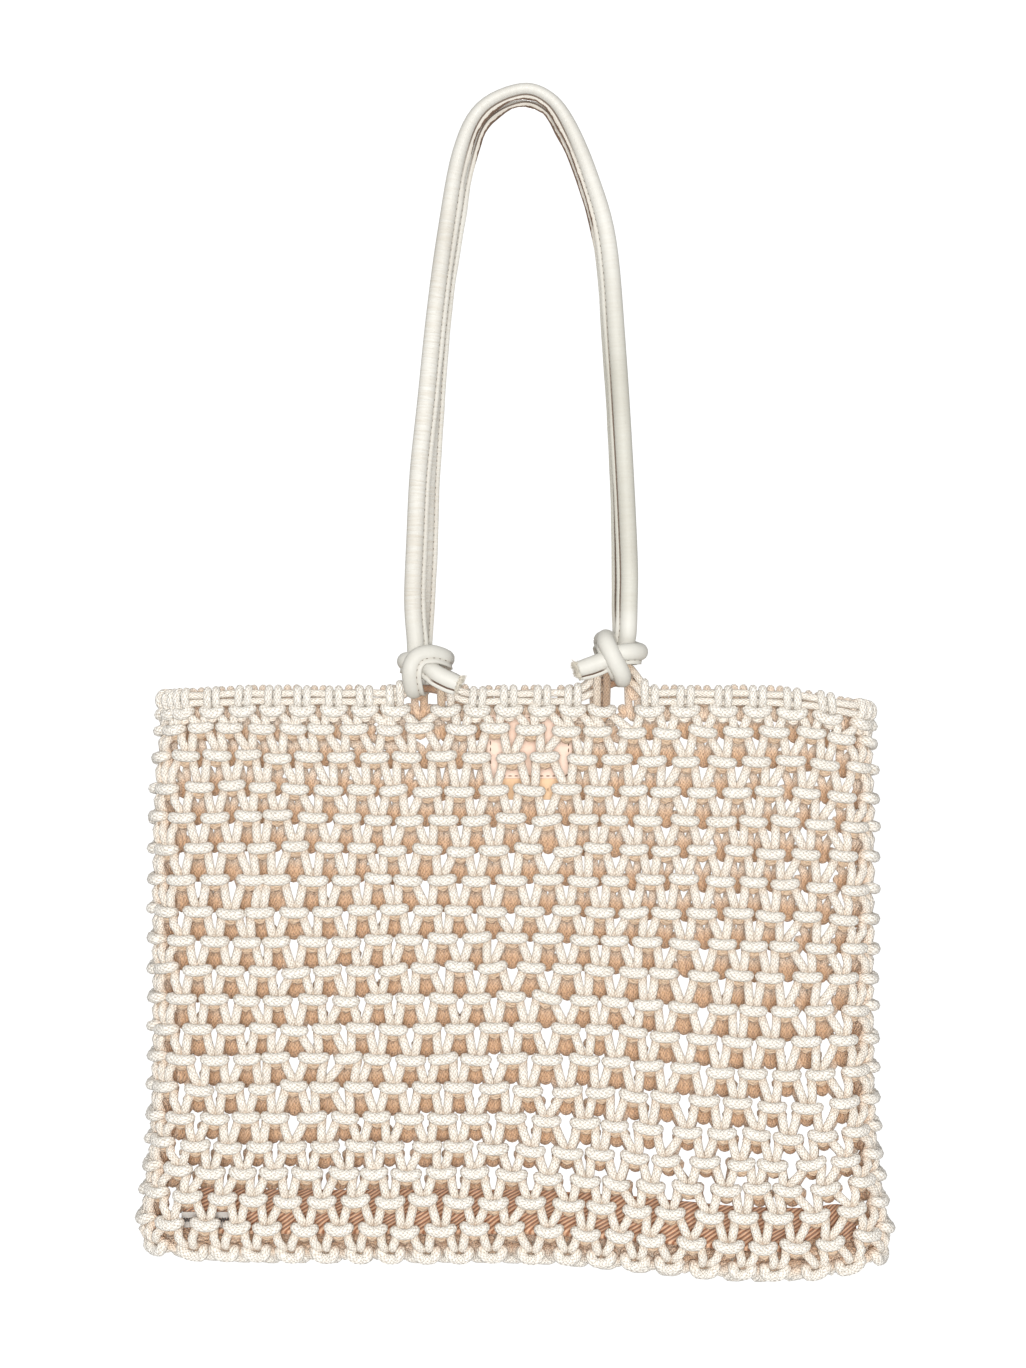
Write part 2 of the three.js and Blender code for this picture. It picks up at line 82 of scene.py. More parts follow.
# Point and outward direction at a share of the perimeter, from the middle of the front.
def roundedRectangle(share, a, b, r):
    length = 4 * (a - r) + 4 * (b - r) + 2 * math.pi * r
    turn = (share + 0.5) % 1.0 - 0.5
    t = np.abs(turn) * length
    side = np.where(turn < 0, -1.0, 1.0)
    arc = math.pi / 2 * r
    e1 = a - r
    e2 = e1 + arc
    e3 = e2 + 2 * (b - r)
    e4 = e3 + arc
    p1 = np.clip((t - e1) / r, 0, math.pi / 2)
    p2 = np.clip((t - e3) / r, 0, math.pi / 2)
    where = [t < e1, t < e2, t < e3, t < e4]
    x = np.select(where, [t, e1 + r * np.sin(p1), a + 0 * t, e1 + r * np.cos(p2)], e1 - (t - e4))
    y = np.select(where, [-b + 0 * t, -(b - r) - r * np.cos(p1), -(b - r) + (t - e2),
                          (b - r) + r * np.sin(p2)], b)
    nx = np.select(where, [0 * t, np.sin(p1), 1 + 0 * t, np.cos(p2)], 0)
    ny = np.select(where, [-1 + 0 * t, -np.cos(p1), 0 * t, np.sin(p2)], 1)
    return x * side, y, nx * side, ny


def leanAt(w):
    return smoothTable(leanDown, leanAside, np.clip(w / bag["height"], 0, 1))


def levelOf(top, hang, across):
    return top + bag["sag"] * smoothTable(hangAcross, hang, across)


# Half the width, half the depth and the corner radius of the net's outline, before its insets.
def outlineAt(width, depth):
    a = (bag["rimWidth"] + width * (bag["baseWidth"] - bag["rimWidth"])) / 2
    b = (bag["rimDepth"] + depth * (bag["baseDepth"] - bag["rimDepth"])) / 2
    return a, b, bag["rimCorner"] + depth * (bag["baseCorner"] - bag["rimCorner"])


# Place and outward direction on the net, w millimetres down from its top and n out from its middle.
def netSurface(share, w, n):
    share, w, n = np.broadcast_arrays(np.asarray(share, float), w, n)
    h, edge = bag["height"], bag["edgeRadius"]
    down = np.clip(w / h, 0, 1)
    psi = np.clip((w - (h - edge)) / edge, 0, None)
    bend = np.minimum(psi, math.pi / 2)
    inset = bag["midInset"] + edge * (1 - np.cos(bend)) + edge * (psi - bend)
    a, b, r = outlineAt(smoothTable(profileDown, profileWidth, down),
                        smoothTable(profileDown, profileDepth, down))
    a = a + smoothTable(leanDown, fullerSide, down)
    x, y, nx, ny = roundedRectangle(share, a - inset, b - inset, np.maximum(r - inset, 2))
    across = np.clip(x / (a - inset), -1, 1)
    top = levelOf(bag["netTop"], hangRim, across)
    bottom = levelOf(bag["netBottom"] + bag["midInset"], hangBase, across)
    fall = np.minimum(w, h - edge) * (top - bottom - edge) / (h - edge)
    z = np.where(psi > 0, bottom + edge * (1 - np.sin(bend)), top - fall)
    out = np.stack([nx * np.cos(bend), ny * np.cos(bend), -np.sin(bend)], -1)
    return np.stack([x + leanAt(w), y, z], -1) + n[..., None] * out, out


def perimeterAt(w):
    down = np.clip(w / bag["height"], 0, 1)
    a, b, r = outlineAt(np.interp(down, profileDown, profileWidth),
                        np.interp(down, profileDown, profileDepth))
    over = np.maximum(w - bag["height"], 0)
    return (4 * (a - bag["midInset"]) + 4 * (b - bag["midInset"])
            - (8 - 2 * math.pi) * (r - bag["midInset"]) - 6 * over)


def bump(share):
    return np.where(np.abs(share) < 1, np.cos(np.clip(share, -1, 1) * math.pi / 2) ** 2, 0)


def fade(x, start, length):  # rises from 0 to 1 over a length from start on
    return np.clip((x - start) / length, 0, 1)


# Meshes from rings of points, and the calls that each finished piece needs.


def newObject(name, verts, faces, material, smooth=True):
    mesh = bpy.data.meshes.new(name)
    verts = np.ascontiguousarray(verts, np.float32)
    faces = np.ascontiguousarray(faces, np.int32)
    mesh.vertices.add(len(verts))
    mesh.vertices.foreach_set("co", verts.ravel())
    mesh.loops.add(faces.size)
    mesh.loops.foreach_set("vertex_index", faces.ravel())
    mesh.polygons.add(len(faces))
    mesh.polygons.foreach_set("loop_start", np.arange(len(faces), dtype=np.int32) * faces.shape[1])
    mesh.polygons.foreach_set("loop_total", np.full(len(faces), faces.shape[1], np.int32))
    mesh.update(calc_edges=True)
    mesh.validate()
    mesh.polygons.foreach_set("use_smooth", np.full(len(faces), smooth))
    item = bpy.data.objects.new(name, mesh)
    bpy.context.collection.objects.link(item)
    mesh.materials.append(material)
    return item


def addAttribute(item, name, values):
    layer = item.data.attributes.new(name, "FLOAT", "POINT")
    layer.data.foreach_set("value", np.ascontiguousarray(values, np.float32).ravel())


def addUv(item, uv):
    layer = item.data.uv_layers.new(name="UVMap")
    layer.data.foreach_set("uv", np.ascontiguousarray(uv, np.float32).ravel())


def unit(v):
    return v / np.maximum(np.linalg.norm(v, axis=-1, keepdims=True), 1e-9)


def dot(a, b):
    return (a * b).sum(-1, keepdims=True)


def reflect(v, step):
    return v - 2 / np.maximum(dot(step, step), 1e-12) * dot(step, v) * step


def declare(item, slotName, *nodeNames):
    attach(item, "root")
    if nodeNames:
        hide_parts(*nodeNames)


def editMesh(item, change):
    work = bmesh.new()
    work.from_mesh(item.data)
    change(work)
    work.to_mesh(item.data)
    work.free()


def fillHoles(work):
    loose = [edge for edge in work.edges if edge.is_boundary]
    return bmesh.ops.holes_fill(work, edges=loose, sides=0)["faces"]


# Quads between rings of points that are joined all round.
def ringQuads(rings, sides, closed=False):
    k = np.arange(rings if closed else rings - 1)[:, None]
    j = np.arange(sides)[None]
    here, there, after = k * sides, (k + 1) % rings * sides, (j + 1) % sides
    return np.stack(np.broadcast_arrays(here + j, here + after, there + after, there + j), -1).reshape(-1, 4)


# UV of those quads: u goes once round from 0 to 1, and v has a value for each ring.
def ringUv(v, sides):
    v0, v1 = (rows[..., None] + np.zeros(sides) for rows in (v[..., :-1], v[..., 1:]))
    u0, u1 = np.arange(sides) / sides + 0 * v0, np.arange(1, sides + 1) / sides + 0 * v0
    return np.stack([np.stack([u0, u1, u1, u0], -1), np.stack([v0, v0, v1, v1], -1)], -1).reshape(-1, 2)


# Carries a first normal along points (..., rings, 3) without twist, by double reflection.
def carryNormals(points, tangents, first):
    normals = [unit(first - dot(first, tangents[..., 0, :]) * tangents[..., 0, :])]
    for k in range(points.shape[-2] - 1):
        step = points[..., k + 1, :] - points[..., k, :]
        turn = tangents[..., k + 1, :] - reflect(tangents[..., k, :], step)
        normals.append(unit(reflect(reflect(normals[-1], step), turn)))
    return np.stack(normals, -2)


# Turns normals little by little about the tangents, so that the last one meets the one wanted there.
def turnToMeet(normals, tangents, want, axis, shares):
    have = normals[..., -1, :]
    part = np.arctan2(dot(np.cross(have, want), axis), dot(have, want))[..., None, :] * shares[:, None]
    return normals * np.cos(part) + np.cross(tangents, normals) * np.sin(part)


# Points on a Catmull-Rom curve through control (..., points, k). spans: pieces for each span.
def catmull(control, spans, closed, period=None):
    count = control.shape[-2]
    if closed:
        padded = np.concatenate([control[..., -1:, :] - period, control, control[..., :2, :] + period], -2)
    else:
        padded = np.concatenate([2 * control[..., :1, :] - control[..., 1:2, :], control,
                                 2 * control[..., -1:, :] - control[..., -2:-1, :]], -2)
    made = []
    for span in range(count if closed else count - 1):
        p0, p1, p2, p3 = (padded[..., span + k, :] for k in range(4))
        for part in range(spans[span % len(spans)]):
            t = part / spans[span % len(spans)]
            made.append(0.5 * (2 * p1 + (p2 - p0) * t + (2 * p0 - 5 * p1 + 4 * p2 - p3) * t * t
                               + (3 * p1 - p0 - 3 * p2 + p3) * t ** 3))
    if not closed:
        made.append(control[..., -1, :])
    return np.stack(made, -2)


cordGirth = 2 * math.pi * 2.35  # round the middling cord, as the length of one unit of v


# Tubes round points (tubes, rings, 3), in mm. Gives verts, quads, uv and how far each point stands out.
# out is the outward direction at each ring, and block the rings from one bar to the next.
def tubeMesh(points, out, radius, sides, closed, block=None):
    tubes, rings, _ = points.shape
    if closed:
        tangents = unit(np.roll(points, -1, 1) - np.roll(points, 1, 1))
    else:
        tangents = unit(np.gradient(points, axis=1))
    if block:
        index = (np.arange(rings // block)[:, None] * block + np.arange(block + 1)[None]) % rings
        places, along, outward = points[:, index], tangents[:, index], out[:, index]
        first, last, axis = outward[..., 0, :], outward[..., -1, :], along[..., -1, :]
        carried = carryNormals(places, along, first)
        want = unit(last - dot(last, axis) * axis)
        carried = turnToMeet(carried, along, want, axis, np.arange(block + 1) / block)
        normals = carried[:, :, :block].reshape(tubes, rings, 3)
    else:
        normals = carryNormals(points, tangents, out[:, 0])
        if closed:
            normals = turnToMeet(normals, tangents, normals[:, 0], tangents[:, 0], np.arange(rings) / rings)
    across = np.cross(tangents, normals)
    angles = 2 * math.pi * np.arange(sides) / sides
    ring = normals[:, :, None] * np.cos(angles)[:, None] + across[:, :, None] * np.sin(angles)[:, None]
    radius = np.broadcast_to(radius, (tubes, rings))
    verts = points[:, :, None] + radius[..., None, None] * ring
    step = np.linalg.norm(np.roll(points, -1, 1) - points, axis=-1)
    length = np.concatenate([np.zeros((tubes, 1)), np.cumsum(step, 1)], 1)
    quads = ringQuads(rings, sides, closed)[None] + (np.arange(tubes) * rings * sides)[:, None, None]
    uv = ringUv((length if closed else length[:, :-1]) / cordGirth, sides)
    lean = (ring * out[:, :, None]).sum(-1) * radius[..., None]
    return verts.reshape(-1, 3), quads.reshape(-1, 4), uv, lean


# One object from several (verts, quads, uv, lift, shade) sets in mm. shade has a value a ring.
def joinParts(name, parts, material):
    offset, quads, shades = 0, [], []
    for v, q, _, _, shade in parts:
        quads.append(q + offset)
        shades.append(np.repeat(np.ravel(shade), len(v) // np.size(shade)))
        offset += len(v)
    item = newObject(name, np.concatenate([part[0] for part in parts]) * mm, np.concatenate(quads), material)
    addUv(item, np.concatenate([part[2] for part in parts]))
    addAttribute(item, "lift", np.concatenate([np.ravel(part[3]) for part in parts]))
    addAttribute(item, "shade", np.concatenate(shades))
    return item


# Nodes: inputs are named or numbered, and a value that is a socket is linked.


def addNode(tree, kind, inputs=None, **settings):
    made = tree.nodes.new(kind)
    for name, value in settings.items():
        setattr(made, name, value)
    for name, value in (inputs or {}).items():
        if hasattr(value, "links"):
            tree.links.new(value, made.inputs[name])
        else:
            made.inputs[name].default_value = value
    return made


def newMaterial(name):
    material = bpy.data.materials.new(name)
    material.use_nodes = True
    return material, material.node_tree


# Links a material's colour and its bumps, and sets the other values of its shader.
def finishMaterial(material, tone, height, distance, strength, values):
    tree = material.node_tree
    shader = tree.nodes["Principled BSDF"]
    bumps = addNode(tree, "ShaderNodeBump", {"Distance": distance, "Strength": strength, "Height": height})
    tree.links.new(tone, shader.inputs["Base Color"])
    tree.links.new(bumps.outputs[0], shader.inputs["Normal"])
    for name, value in values.items():
        shader.inputs[name].default_value = value
    return material


def calculate(tree, operation, *values, clamp=False):
    made = addNode(tree, "ShaderNodeMath", dict(enumerate(values)), operation=operation, use_clamp=clamp)
    return made.outputs[0]


def times(tree, a, b, clamp=False):
    return calculate(tree, "MULTIPLY", a, b, clamp=clamp)


def minus(tree, a, b, clamp=False):
    return calculate(tree, "SUBTRACT", a, b, clamp=clamp)


def timesPlus(tree, a, b, c, clamp=False):
    return calculate(tree, "MULTIPLY_ADD", a, b, c, clamp=clamp)


def ramp(tree, factor, stops):
    made = addNode(tree, "ShaderNodeValToRGB", {0: factor})
    elements = made.color_ramp.elements
    while len(elements) < len(stops):
        elements.new(0.5)
    for element, (place, colour) in zip(elements, stops):
        element.position = place
        element.color = (*linear(colour), 1)
    return made.outputs[0]


def linear(colour):  # from the 0 to 255 of a colour picker
    return [((c / 255 + 0.055) / 1.055) ** 2.4 if c > 10 else c / 255 / 12.92 for c in colour]


def mixColour(tree, factor, a, b, blend="MIX"):
    a, b = (value if hasattr(value, "links") else (*linear(value), 1) for value in (a, b))
    made = addNode(tree, "ShaderNodeMix", {0: factor, 6: a, 7: b}, data_type="RGBA", blend_type=blend)
    return made.outputs[2]


def noise(tree, vector, scale, detail=2.0):
    inputs = {"Scale": scale, "Detail": detail, "Vector": vector}
    return addNode(tree, "ShaderNodeTexNoise", inputs).outputs["Fac"]


def attribute(tree, name):
    return addNode(tree, "ShaderNodeAttribute", attribute_name=name).outputs["Fac"]


def uvParts(tree):
    flat = addNode(tree, "ShaderNodeUVMap", uv_map="UVMap")
    split = addNode(tree, "ShaderNodeSeparateXYZ", {0: flat.outputs[0]})
    return split.outputs[0], split.outputs[1]


def objectCoordinates(tree):
    return addNode(tree, "ShaderNodeTexCoord").outputs["Object"]


# Braided cotton: its tone follows how far out a point lies, as painted shade that makes inward and sunk faces
# warm peach and outward ones ivory, and it is darkened by painted shade where it lies in the shade of a knot.
cotton = {
    "inside": (255, 234, 212),
    "shade": (252, 238, 222),
    "side": (240, 234, 224),
    "outside": (234, 231, 224),
    "knot": (222, 202, 182),
    "deep": (168, 132, 104),
    "creaseShade": (196, 184, 170),
    "strands": 7,
    "slant": 7.0,
    "bump": 0.0008,
    "wander": 1.6,
    "dust": (240, 228, 212),
    "shader": {"Roughness": 0.92, "Sheen Weight": 0.25, "Sheen Roughness": 0.6, "Specular IOR Level": 0.25},
}


def makeCotton():
    material, tree = newMaterial("cottonCord")
    lift = timesPlus(tree, attribute(tree, "lift"), 0.1, 0.5, clamp=True)
    # Painted shade: from the warm inside tone on faces turned into the bag to the ivory outside tone on faces
    # turned out, by the lift attribute.
    tone = ramp(tree, lift, [(0.05, cotton["inside"]), (0.34, cotton["shade"]),
                             (0.58, cotton["side"]), (0.85, cotton["outside"])])
    where = objectCoordinates(tree)
    shade = attribute(tree, "shade")
    # Painted shade: the knot tone where cords pass behind bars and round nubs, and a deeper painted shadow in
    # the deep tone where shade goes past 1, by the handles' eyes.
    tone = mixColour(tree, calculate(tree, "MINIMUM", shade, 1.0), tone, cotton["knot"], "MULTIPLY")
    tone = mixColour(tree, minus(tree, shade, 1.0, clamp=True), tone, cotton["deep"], "MULTIPLY")
    patchy = noise(tree, where, 60.0, 3.0)
    tone = mixColour(tree, times(tree, patchy, 0.3), tone, cotton["dust"], "MULTIPLY")
    u, v = uvParts(tree)
    wander = times(tree, noise(tree, where, 420.0), cotton["wander"])
    lengthwise = timesPlus(tree, v, cotton["slant"], wander)
    around = timesPlus(tree, u, cotton["strands"], times(tree, wander, 0.7))
    strands = []
    for operation in ("ADD", "SUBTRACT"):
        turn = times(tree, calculate(tree, operation, around, lengthwise), math.pi)
        strands.append(calculate(tree, "ABSOLUTE", calculate(tree, "SINE", turn)))
    braid = timesPlus(tree, strands[0], 0.55, times(tree, strands[1], 0.45))
    fibre = noise(tree, where, 2600.0)
    # Painted shade in the grooves between the braid's strands.
    creaseShade = times(tree, minus(tree, 0.8, braid), 1.3, clamp=True)
    tone = mixColour(tree, creaseShade, tone, cotton["creaseShade"], "MULTIPLY")
    height = timesPlus(tree, fibre, 0.35, braid)
    return finishMaterial(material, tone, height, cotton["bump"], 0.8, cotton["shader"])


# Handle leather: folds where it is worn, with painted shade in their creases, a seam with stitches and
# painted shade along its groove, raw edges, a dark seam line near the cut ends, on the right leg and at the
# top, and painted shade on the right leg.
leather = {
    "face": (207, 205, 198),
    "dull": (197, 194, 186),
    "creaseShade": (186, 176, 160),
    "raw": (104, 84, 70),
    "fold": (196, 184, 168),
    "stitch": (96, 82, 70),
    "cut": (92, 72, 58),
    "paintedShade": (234, 234, 230),
    "frayedFrom": 0.98,
    "pitch": 3.5,
    "dash": 0.14,
    "bump": 0.0004,
    "shader": {"Roughness": 0.58, "Specular IOR Level": 0.35},
}


def makeHandleLeather():
    material, tree = newMaterial("handleLeather")
    where = objectCoordinates(tree)
    u, v = uvParts(tree)
    tone = ramp(tree, noise(tree, where, 28.0, 3.0), [(0.3, leather["dull"]), (0.62, leather["face"])])
    squeeze = addNode(tree, "ShaderNodeCombineXYZ", {0: times(tree, u, 2.2), 1: times(tree, v, 26.0)})
    wrinkle = noise(tree, squeeze.outputs[0], 1.0, 3.0)
    worn = attribute(tree, "wrinkle")
    # Painted shade in the creases of the wrinkles.
    creased = times(tree, minus(tree, 0.62, wrinkle), times(tree, worn, 1.6), clamp=True)
    tone = mixColour(tree, creased, tone, leather["creaseShade"])
    pulse = calculate(tree, "FRACT", calculate(tree, "DIVIDE", attribute(tree, "along"), leather["pitch"]))
    offDash = calculate(tree, "ABSOLUTE", minus(tree, pulse, 0.5))
    dash = calculate(tree, "LESS_THAN", offDash, leather["dash"])
    seam = attribute(tree, "seam")
    atRoot = calculate(tree, "GREATER_THAN", seam, 0.8)
    hole = times(tree, times(tree, dash, atRoot), attribute(tree, "stitched"))
    # Painted shade along the seam's groove.
    tone = mixColour(tree, times(tree, seam, 0.4, clamp=True), tone, leather["creaseShade"])
    ragged = noise(tree, where, 300.0, 3.0)
    raw = attribute(tree, "raw")
    tone = mixColour(tree, times(tree, raw, 0.7), tone, leather["fold"])
    frayed = calculate(tree, "GREATER_THAN", timesPlus(tree, ragged, 0.5, raw), leather["frayedFrom"])
    tone = mixColour(tree, frayed, tone, leather["raw"])
    tone = mixColour(tree, hole, tone, leather["stitch"])
    # Painted shade on the lower right leg, and a little over the knots.
    tone = mixColour(tree, attribute(tree, "paintedShade"), tone, leather["paintedShade"], "MULTIPLY")
    # A dark line along the seam near the cut ends, on the right leg and at the top.
    opened = times(tree, calculate(tree, "GREATER_THAN", seam, 0.3), attribute(tree, "cut"))
    tone = mixColour(tree, opened, tone, leather["cut"])
    pores = noise(tree, where, 1500.0)
    folds = times(tree, wrinkle, worn)
    height = timesPlus(tree, pores, 0.18, times(tree, folds, 2.0))
    height = minus(tree, minus(tree, height, times(tree, seam, 0.5)), hole)
    return finishMaterial(material, tone, height, leather["bump"], 0.8, leather["shader"])


def makePatchLeather(name, face, dull, grain):
    material, tree = newMaterial(name)
    where = objectCoordinates(tree)
    tone = ramp(tree, noise(tree, where, 45.0, 4.0), [(0.3, dull), (0.65, face)])
    pores = noise(tree, where, grain, 3.0)
    tone = mixColour(tree, times(tree, pores, 0.3), tone, dull, "MULTIPLY")
    return finishMaterial(material, tone, pores, 0.0002, 0.7, {"Roughness": 0.55})


twill = {
    "light": (246, 206, 172),
    "ribShade": (168, 116, 84),
    "worn": (226, 204, 184),
    "pitch": 3.2,
    "bump": 0.0006,
    "shader": {"Roughness": 0.9, "Sheen Weight": 0.2},
}


def makeTwill():
    material, tree = newMaterial("cottonTwill")
    where = objectCoordinates(tree)
    u, v = uvParts(tree)
    wobble = times(tree, noise(tree, where, 30.0), 1.2)
    diagonal = calculate(tree, "ADD", minus(tree, u, times(tree, v, 0.9)), wobble)
    rib = calculate(tree, "SINE", times(tree, diagonal, 2 * math.pi / twill["pitch"]))
    half = timesPlus(tree, rib, 0.5, 0.5)
    # Painted shade: a dark tone in the grooves between the ribs, and the light tone on their crests.
    tone = ramp(tree, half, [(0.1, twill["ribShade"]), (0.8, twill["light"])])
    patchy = noise(tree, where, 22.0, 3.0)
    tone = mixColour(tree, times(tree, patchy, 0.4), tone, twill["worn"], "MULTIPLY")
    height = timesPlus(tree, noise(tree, where, 1800.0), 0.4, half)
    return finishMaterial(material, tone, height, twill["bump"], 0.9, twill["shader"])


def makePlain(name, colour, roughness, scale):
    material, tree = newMaterial(name)
    grain = noise(tree, objectCoordinates(tree), scale, 3.0)
    tone = mixColour(tree, times(tree, grain, 0.5), colour, [c * 0.6 for c in colour])
    return finishMaterial(material, tone, grain, 0.0002, 0.6, {"Roughness": roughness})


cottonMaterial = makeCotton()
handleMaterial = makeHandleLeather()
patchMaterial = makePatchLeather("peachLeather", (238, 216, 200), (230, 202, 182), 900.0)
tabMaterial = makePatchLeather("tanLeather", (236, 206, 168), (222, 188, 148), 700.0)
twillMaterial = makeTwill()
zipMaterial = makePlain("zipTape", (206, 203, 197), 0.8, 900.0)
teethMaterial = makePlain("zipTeeth", (70, 66, 62), 0.5, 600.0)
threadMaterial = makePlain("stitchThread", (120, 92, 70), 0.8, 900.0)
fibreMaterial = makePlain("rawFibre", (232, 224, 208), 0.9, 420.0)
print("stage: materials made")

# The net: bars in rows, each bar's cord going down behind a bar of the next row and round its nub.
net = {
    "columns": 50,  # knots of a row round the bag
    "rowsDown": [2.6, 12.1, 26.1, 41.6, 56.1, 71.1, 86.6, 102.1, 116.6, 131.6, 146.6, 161.6, 176.6,
                 191.6, 206.6, 220.6, 233.6, 246.6, 260.6, 274.3, 288.0],
    "afterLast": 301.0,
    "jitter": 0.45,
    "tilt": 0.06,
    "barRadius": 2.75,
    "armRadius": 2.3,
    "sides": 8,
    "slack": 1.5,  # how far an arm's middle stands out
    "pitch": 16.3,
    "gussetColumns": 3,  # knots between the front's last and the back's first
    "cornerLimit": 1.2,
    "backSpread": 1.04,  # the back is further from the camera
    "edgeFrom": 270,  # from here down, rows keep the places that they would have here
    "waves": ((0.9, 2.0, 0.07), (0.5, 5, -0.13)),  # height, times round the bag, drift from row to row
    "seed": 11,
}
# Middles of the bars across the front in the first rows. Lower rows follow the last two in turn.
frontAcross = np.array([
    (-175, -169, -154.7, -139, -124, -109, -93.4, -77.7, -62.7, -36.8, -21.9,
     -5.5, 10.9, 26.5, 41.0, 65.0, 82.6, 101.9, 119.2, 136.5, 154.5, 171.8),
    (-173.7, -160.2, -145.9, -129.5, -113.9, -99.6, -83.2, -65.5, -50, -29.5, -12.5,
     5.3, 23.5, 39, 56.3, 73.7, 91.5, 109.5, 127.4, 146.3, 161, 174.5),
    (-180.5, -167.7, -152, -136.3, -121.4, -105.7, -89.4, -73, -56.7, -39, -22,
     -4.3, 12.1, 31.4, 48.8, 66.5, 82.9, 100.8, 118.7, 136, 152.8, 170.2),
    (-177.2, -160.8, -144.5, -128.8, -112.5, -96.2, -79.4, -63.5, -46.5, -30.1, -13.1,
     4.6, 23.3, 39.5, 56.9, 73, 91.5, 108.9, 125.2, 143.5, 161.5, 175.5),
    (-182, -169, -152.7, -136.3, -121.4, -103.7, -86.6, -71, -55.3, -38.3, -22,
     -4.3, 13.5, 32, 47.5, 63.9, 82.4, 100.8, 117, 132.8, 150.5, 168)])
# How much the bars of a row bend, with the ends up.
rowCurve = [1.3, 0.6] + [0.45] * 10 + [0.5, 0.6, 0.7, 0.85, 1.0, 1.15, 1.3, 1.6, 1.8, 1.0]
# From the middle of a bar to its right end, and round it and out below: across, down, out. Millimetres.
barTop = np.array([(0, 0.5, 2.9), (2.4, 0.3, 2.8), (4.2, -0.4, 1.8), (5.0, -0.9, -0.2)])
barEnd = np.array([(4.5, 0.4, -2.0), (4.3, 2.9, -1.5)])
barPart = np.concatenate([barTop, barEnd])
# Down to the next knot, behind its bar and round its nub, from the left to the middle.
nubPart = np.array([(-2.1, -4.6, -0.3), (-1.7, -2.0, -1.8), (-1.6, 1.0, -2.7), (-1.3, 3.0, -2.1),
                    (0, 3.9, -1.4)])
flip = np.array([-1, 1, 1])
eyes = [{"x": -46.5, "level": -290.0}, {"x": 47.5, "level": -284.3}]
rng = np.random.default_rng(net["seed"])


# Share of the perimeter for a place on the front half.
def shareAt(x, w):
    steps = 400
    shares = np.linspace(0, 0.25, steps)
    place, _ = netSurface(shares, w + 0 * shares, 0 * shares)
    reach = np.maximum.accumulate(place[:, 0] - leanAt(w)) + np.arange(steps) * 1e-6
    x = x - leanAt(w)
    return np.sign(x) * np.interp(np.minimum(np.abs(x), reach[-1] - net["cornerLimit"]), reach, shares)


# Shares of all knots of a row, from the front's left end on round the bag. The back's knots lie between
# the front's, as seen by the camera.
def rowShares(row, w):
    w = min(w, net["edgeFrom"])
    source = row if row < len(frontAcross) else (3 if row % 2 else 4)
    other = row + 1 - 2 * (row % 2) if row < len(frontAcross) - 1 else (4 if row % 2 else 3)
    ratio = 1.0
    if row >= len(frontAcross):
        here, there = (netSurface(0.25, level, 0)[0][0] - leanAt(level)
                       for level in (w, net["rowsDown"][source]))
        ratio = here / there
    ahead = shareAt(frontAcross[source] * ratio, w)
    behind = 0.5 - shareAt(frontAcross[other][::-1] * ratio * net["backSpread"], w)
    extra = net["gussetColumns"]
    part = np.arange(extra) + 1
    right = ahead[-1] + (behind[0] - ahead[-1]) * part / (extra + 1)
    left = behind[-1] + (ahead[0] + 1 - behind[-1]) * part / (extra + 1)
    return np.concatenate([ahead, right, behind, left])


# Share of the perimeter, way down, tilt and stretch of every knot, with one row more than the bars.
def knotPlaces():
    downs = net["rowsDown"] + [net["afterLast"]]
    share = np.array([rowShares(row, w) for row, w in enumerate(downs)])
    row = np.arange(len(downs))[:, None]
    w = np.array(downs)[:, None] + 0 * share
    for height, rounds, drift in net["waves"]:
        w = w + height * np.sin(2 * math.pi * (rounds * share + drift * row))
    w[0] = downs[0]
    length = perimeterAt(w)
    ahead = np.concatenate([share[:, 1:], share[:, :1] + 1], 1)
    before = np.concatenate([share[:, -1:] - 1, share[:, :-1]], 1)
    pitch = (ahead - before) / 2 * length
    share = share + rng.normal(0, net["jitter"], share.shape) * np.where(row < 5, 0.4, 1) / length
    w = w + rng.normal(0, net["jitter"], share.shape) * np.where(row == 0, 0.3, 1)
    tilt = rng.normal(0, net["tilt"], share.shape)
    stretch = np.clip(pitch / net["pitch"], 0.62, 1.08) * rng.normal(1, 0.04, share.shape)
    return share, w, tilt, stretch


knotShare, knotDown, knotTilt, knotStretch = knotPlaces()


# Control points of a table at the knots of a row, shifted by a number of knots round the bag.
def atKnot(row, shift, table, mirror=False, curve=1.0):
    table = table * np.stack([np.ones(len(table)), curve + np.zeros(len(table)), np.ones(len(table))], -1)
    share = np.roll(knotShare[row], -shift) + (np.arange(net["columns"]) + shift >= net["columns"]) * 1.0
    down, tilt, stretch = (np.roll(values[row], -shift) for values in (knotDown, knotTilt, knotStretch))
    points = table * flip if mirror else table
    dx = points[None, :, 0] * stretch[:, None]
    dw = points[None, :, 1] + 0 * dx
    c, s = np.cos(tilt)[:, None], np.sin(tilt)[:, None]
    length = perimeterAt(down)[:, None]
    return np.stack([share[:, None] + (dx * c - dw * s) / length, down[:, None] + dx * s + dw * c,
                     points[None, :, 2] + 0 * dx], -1)


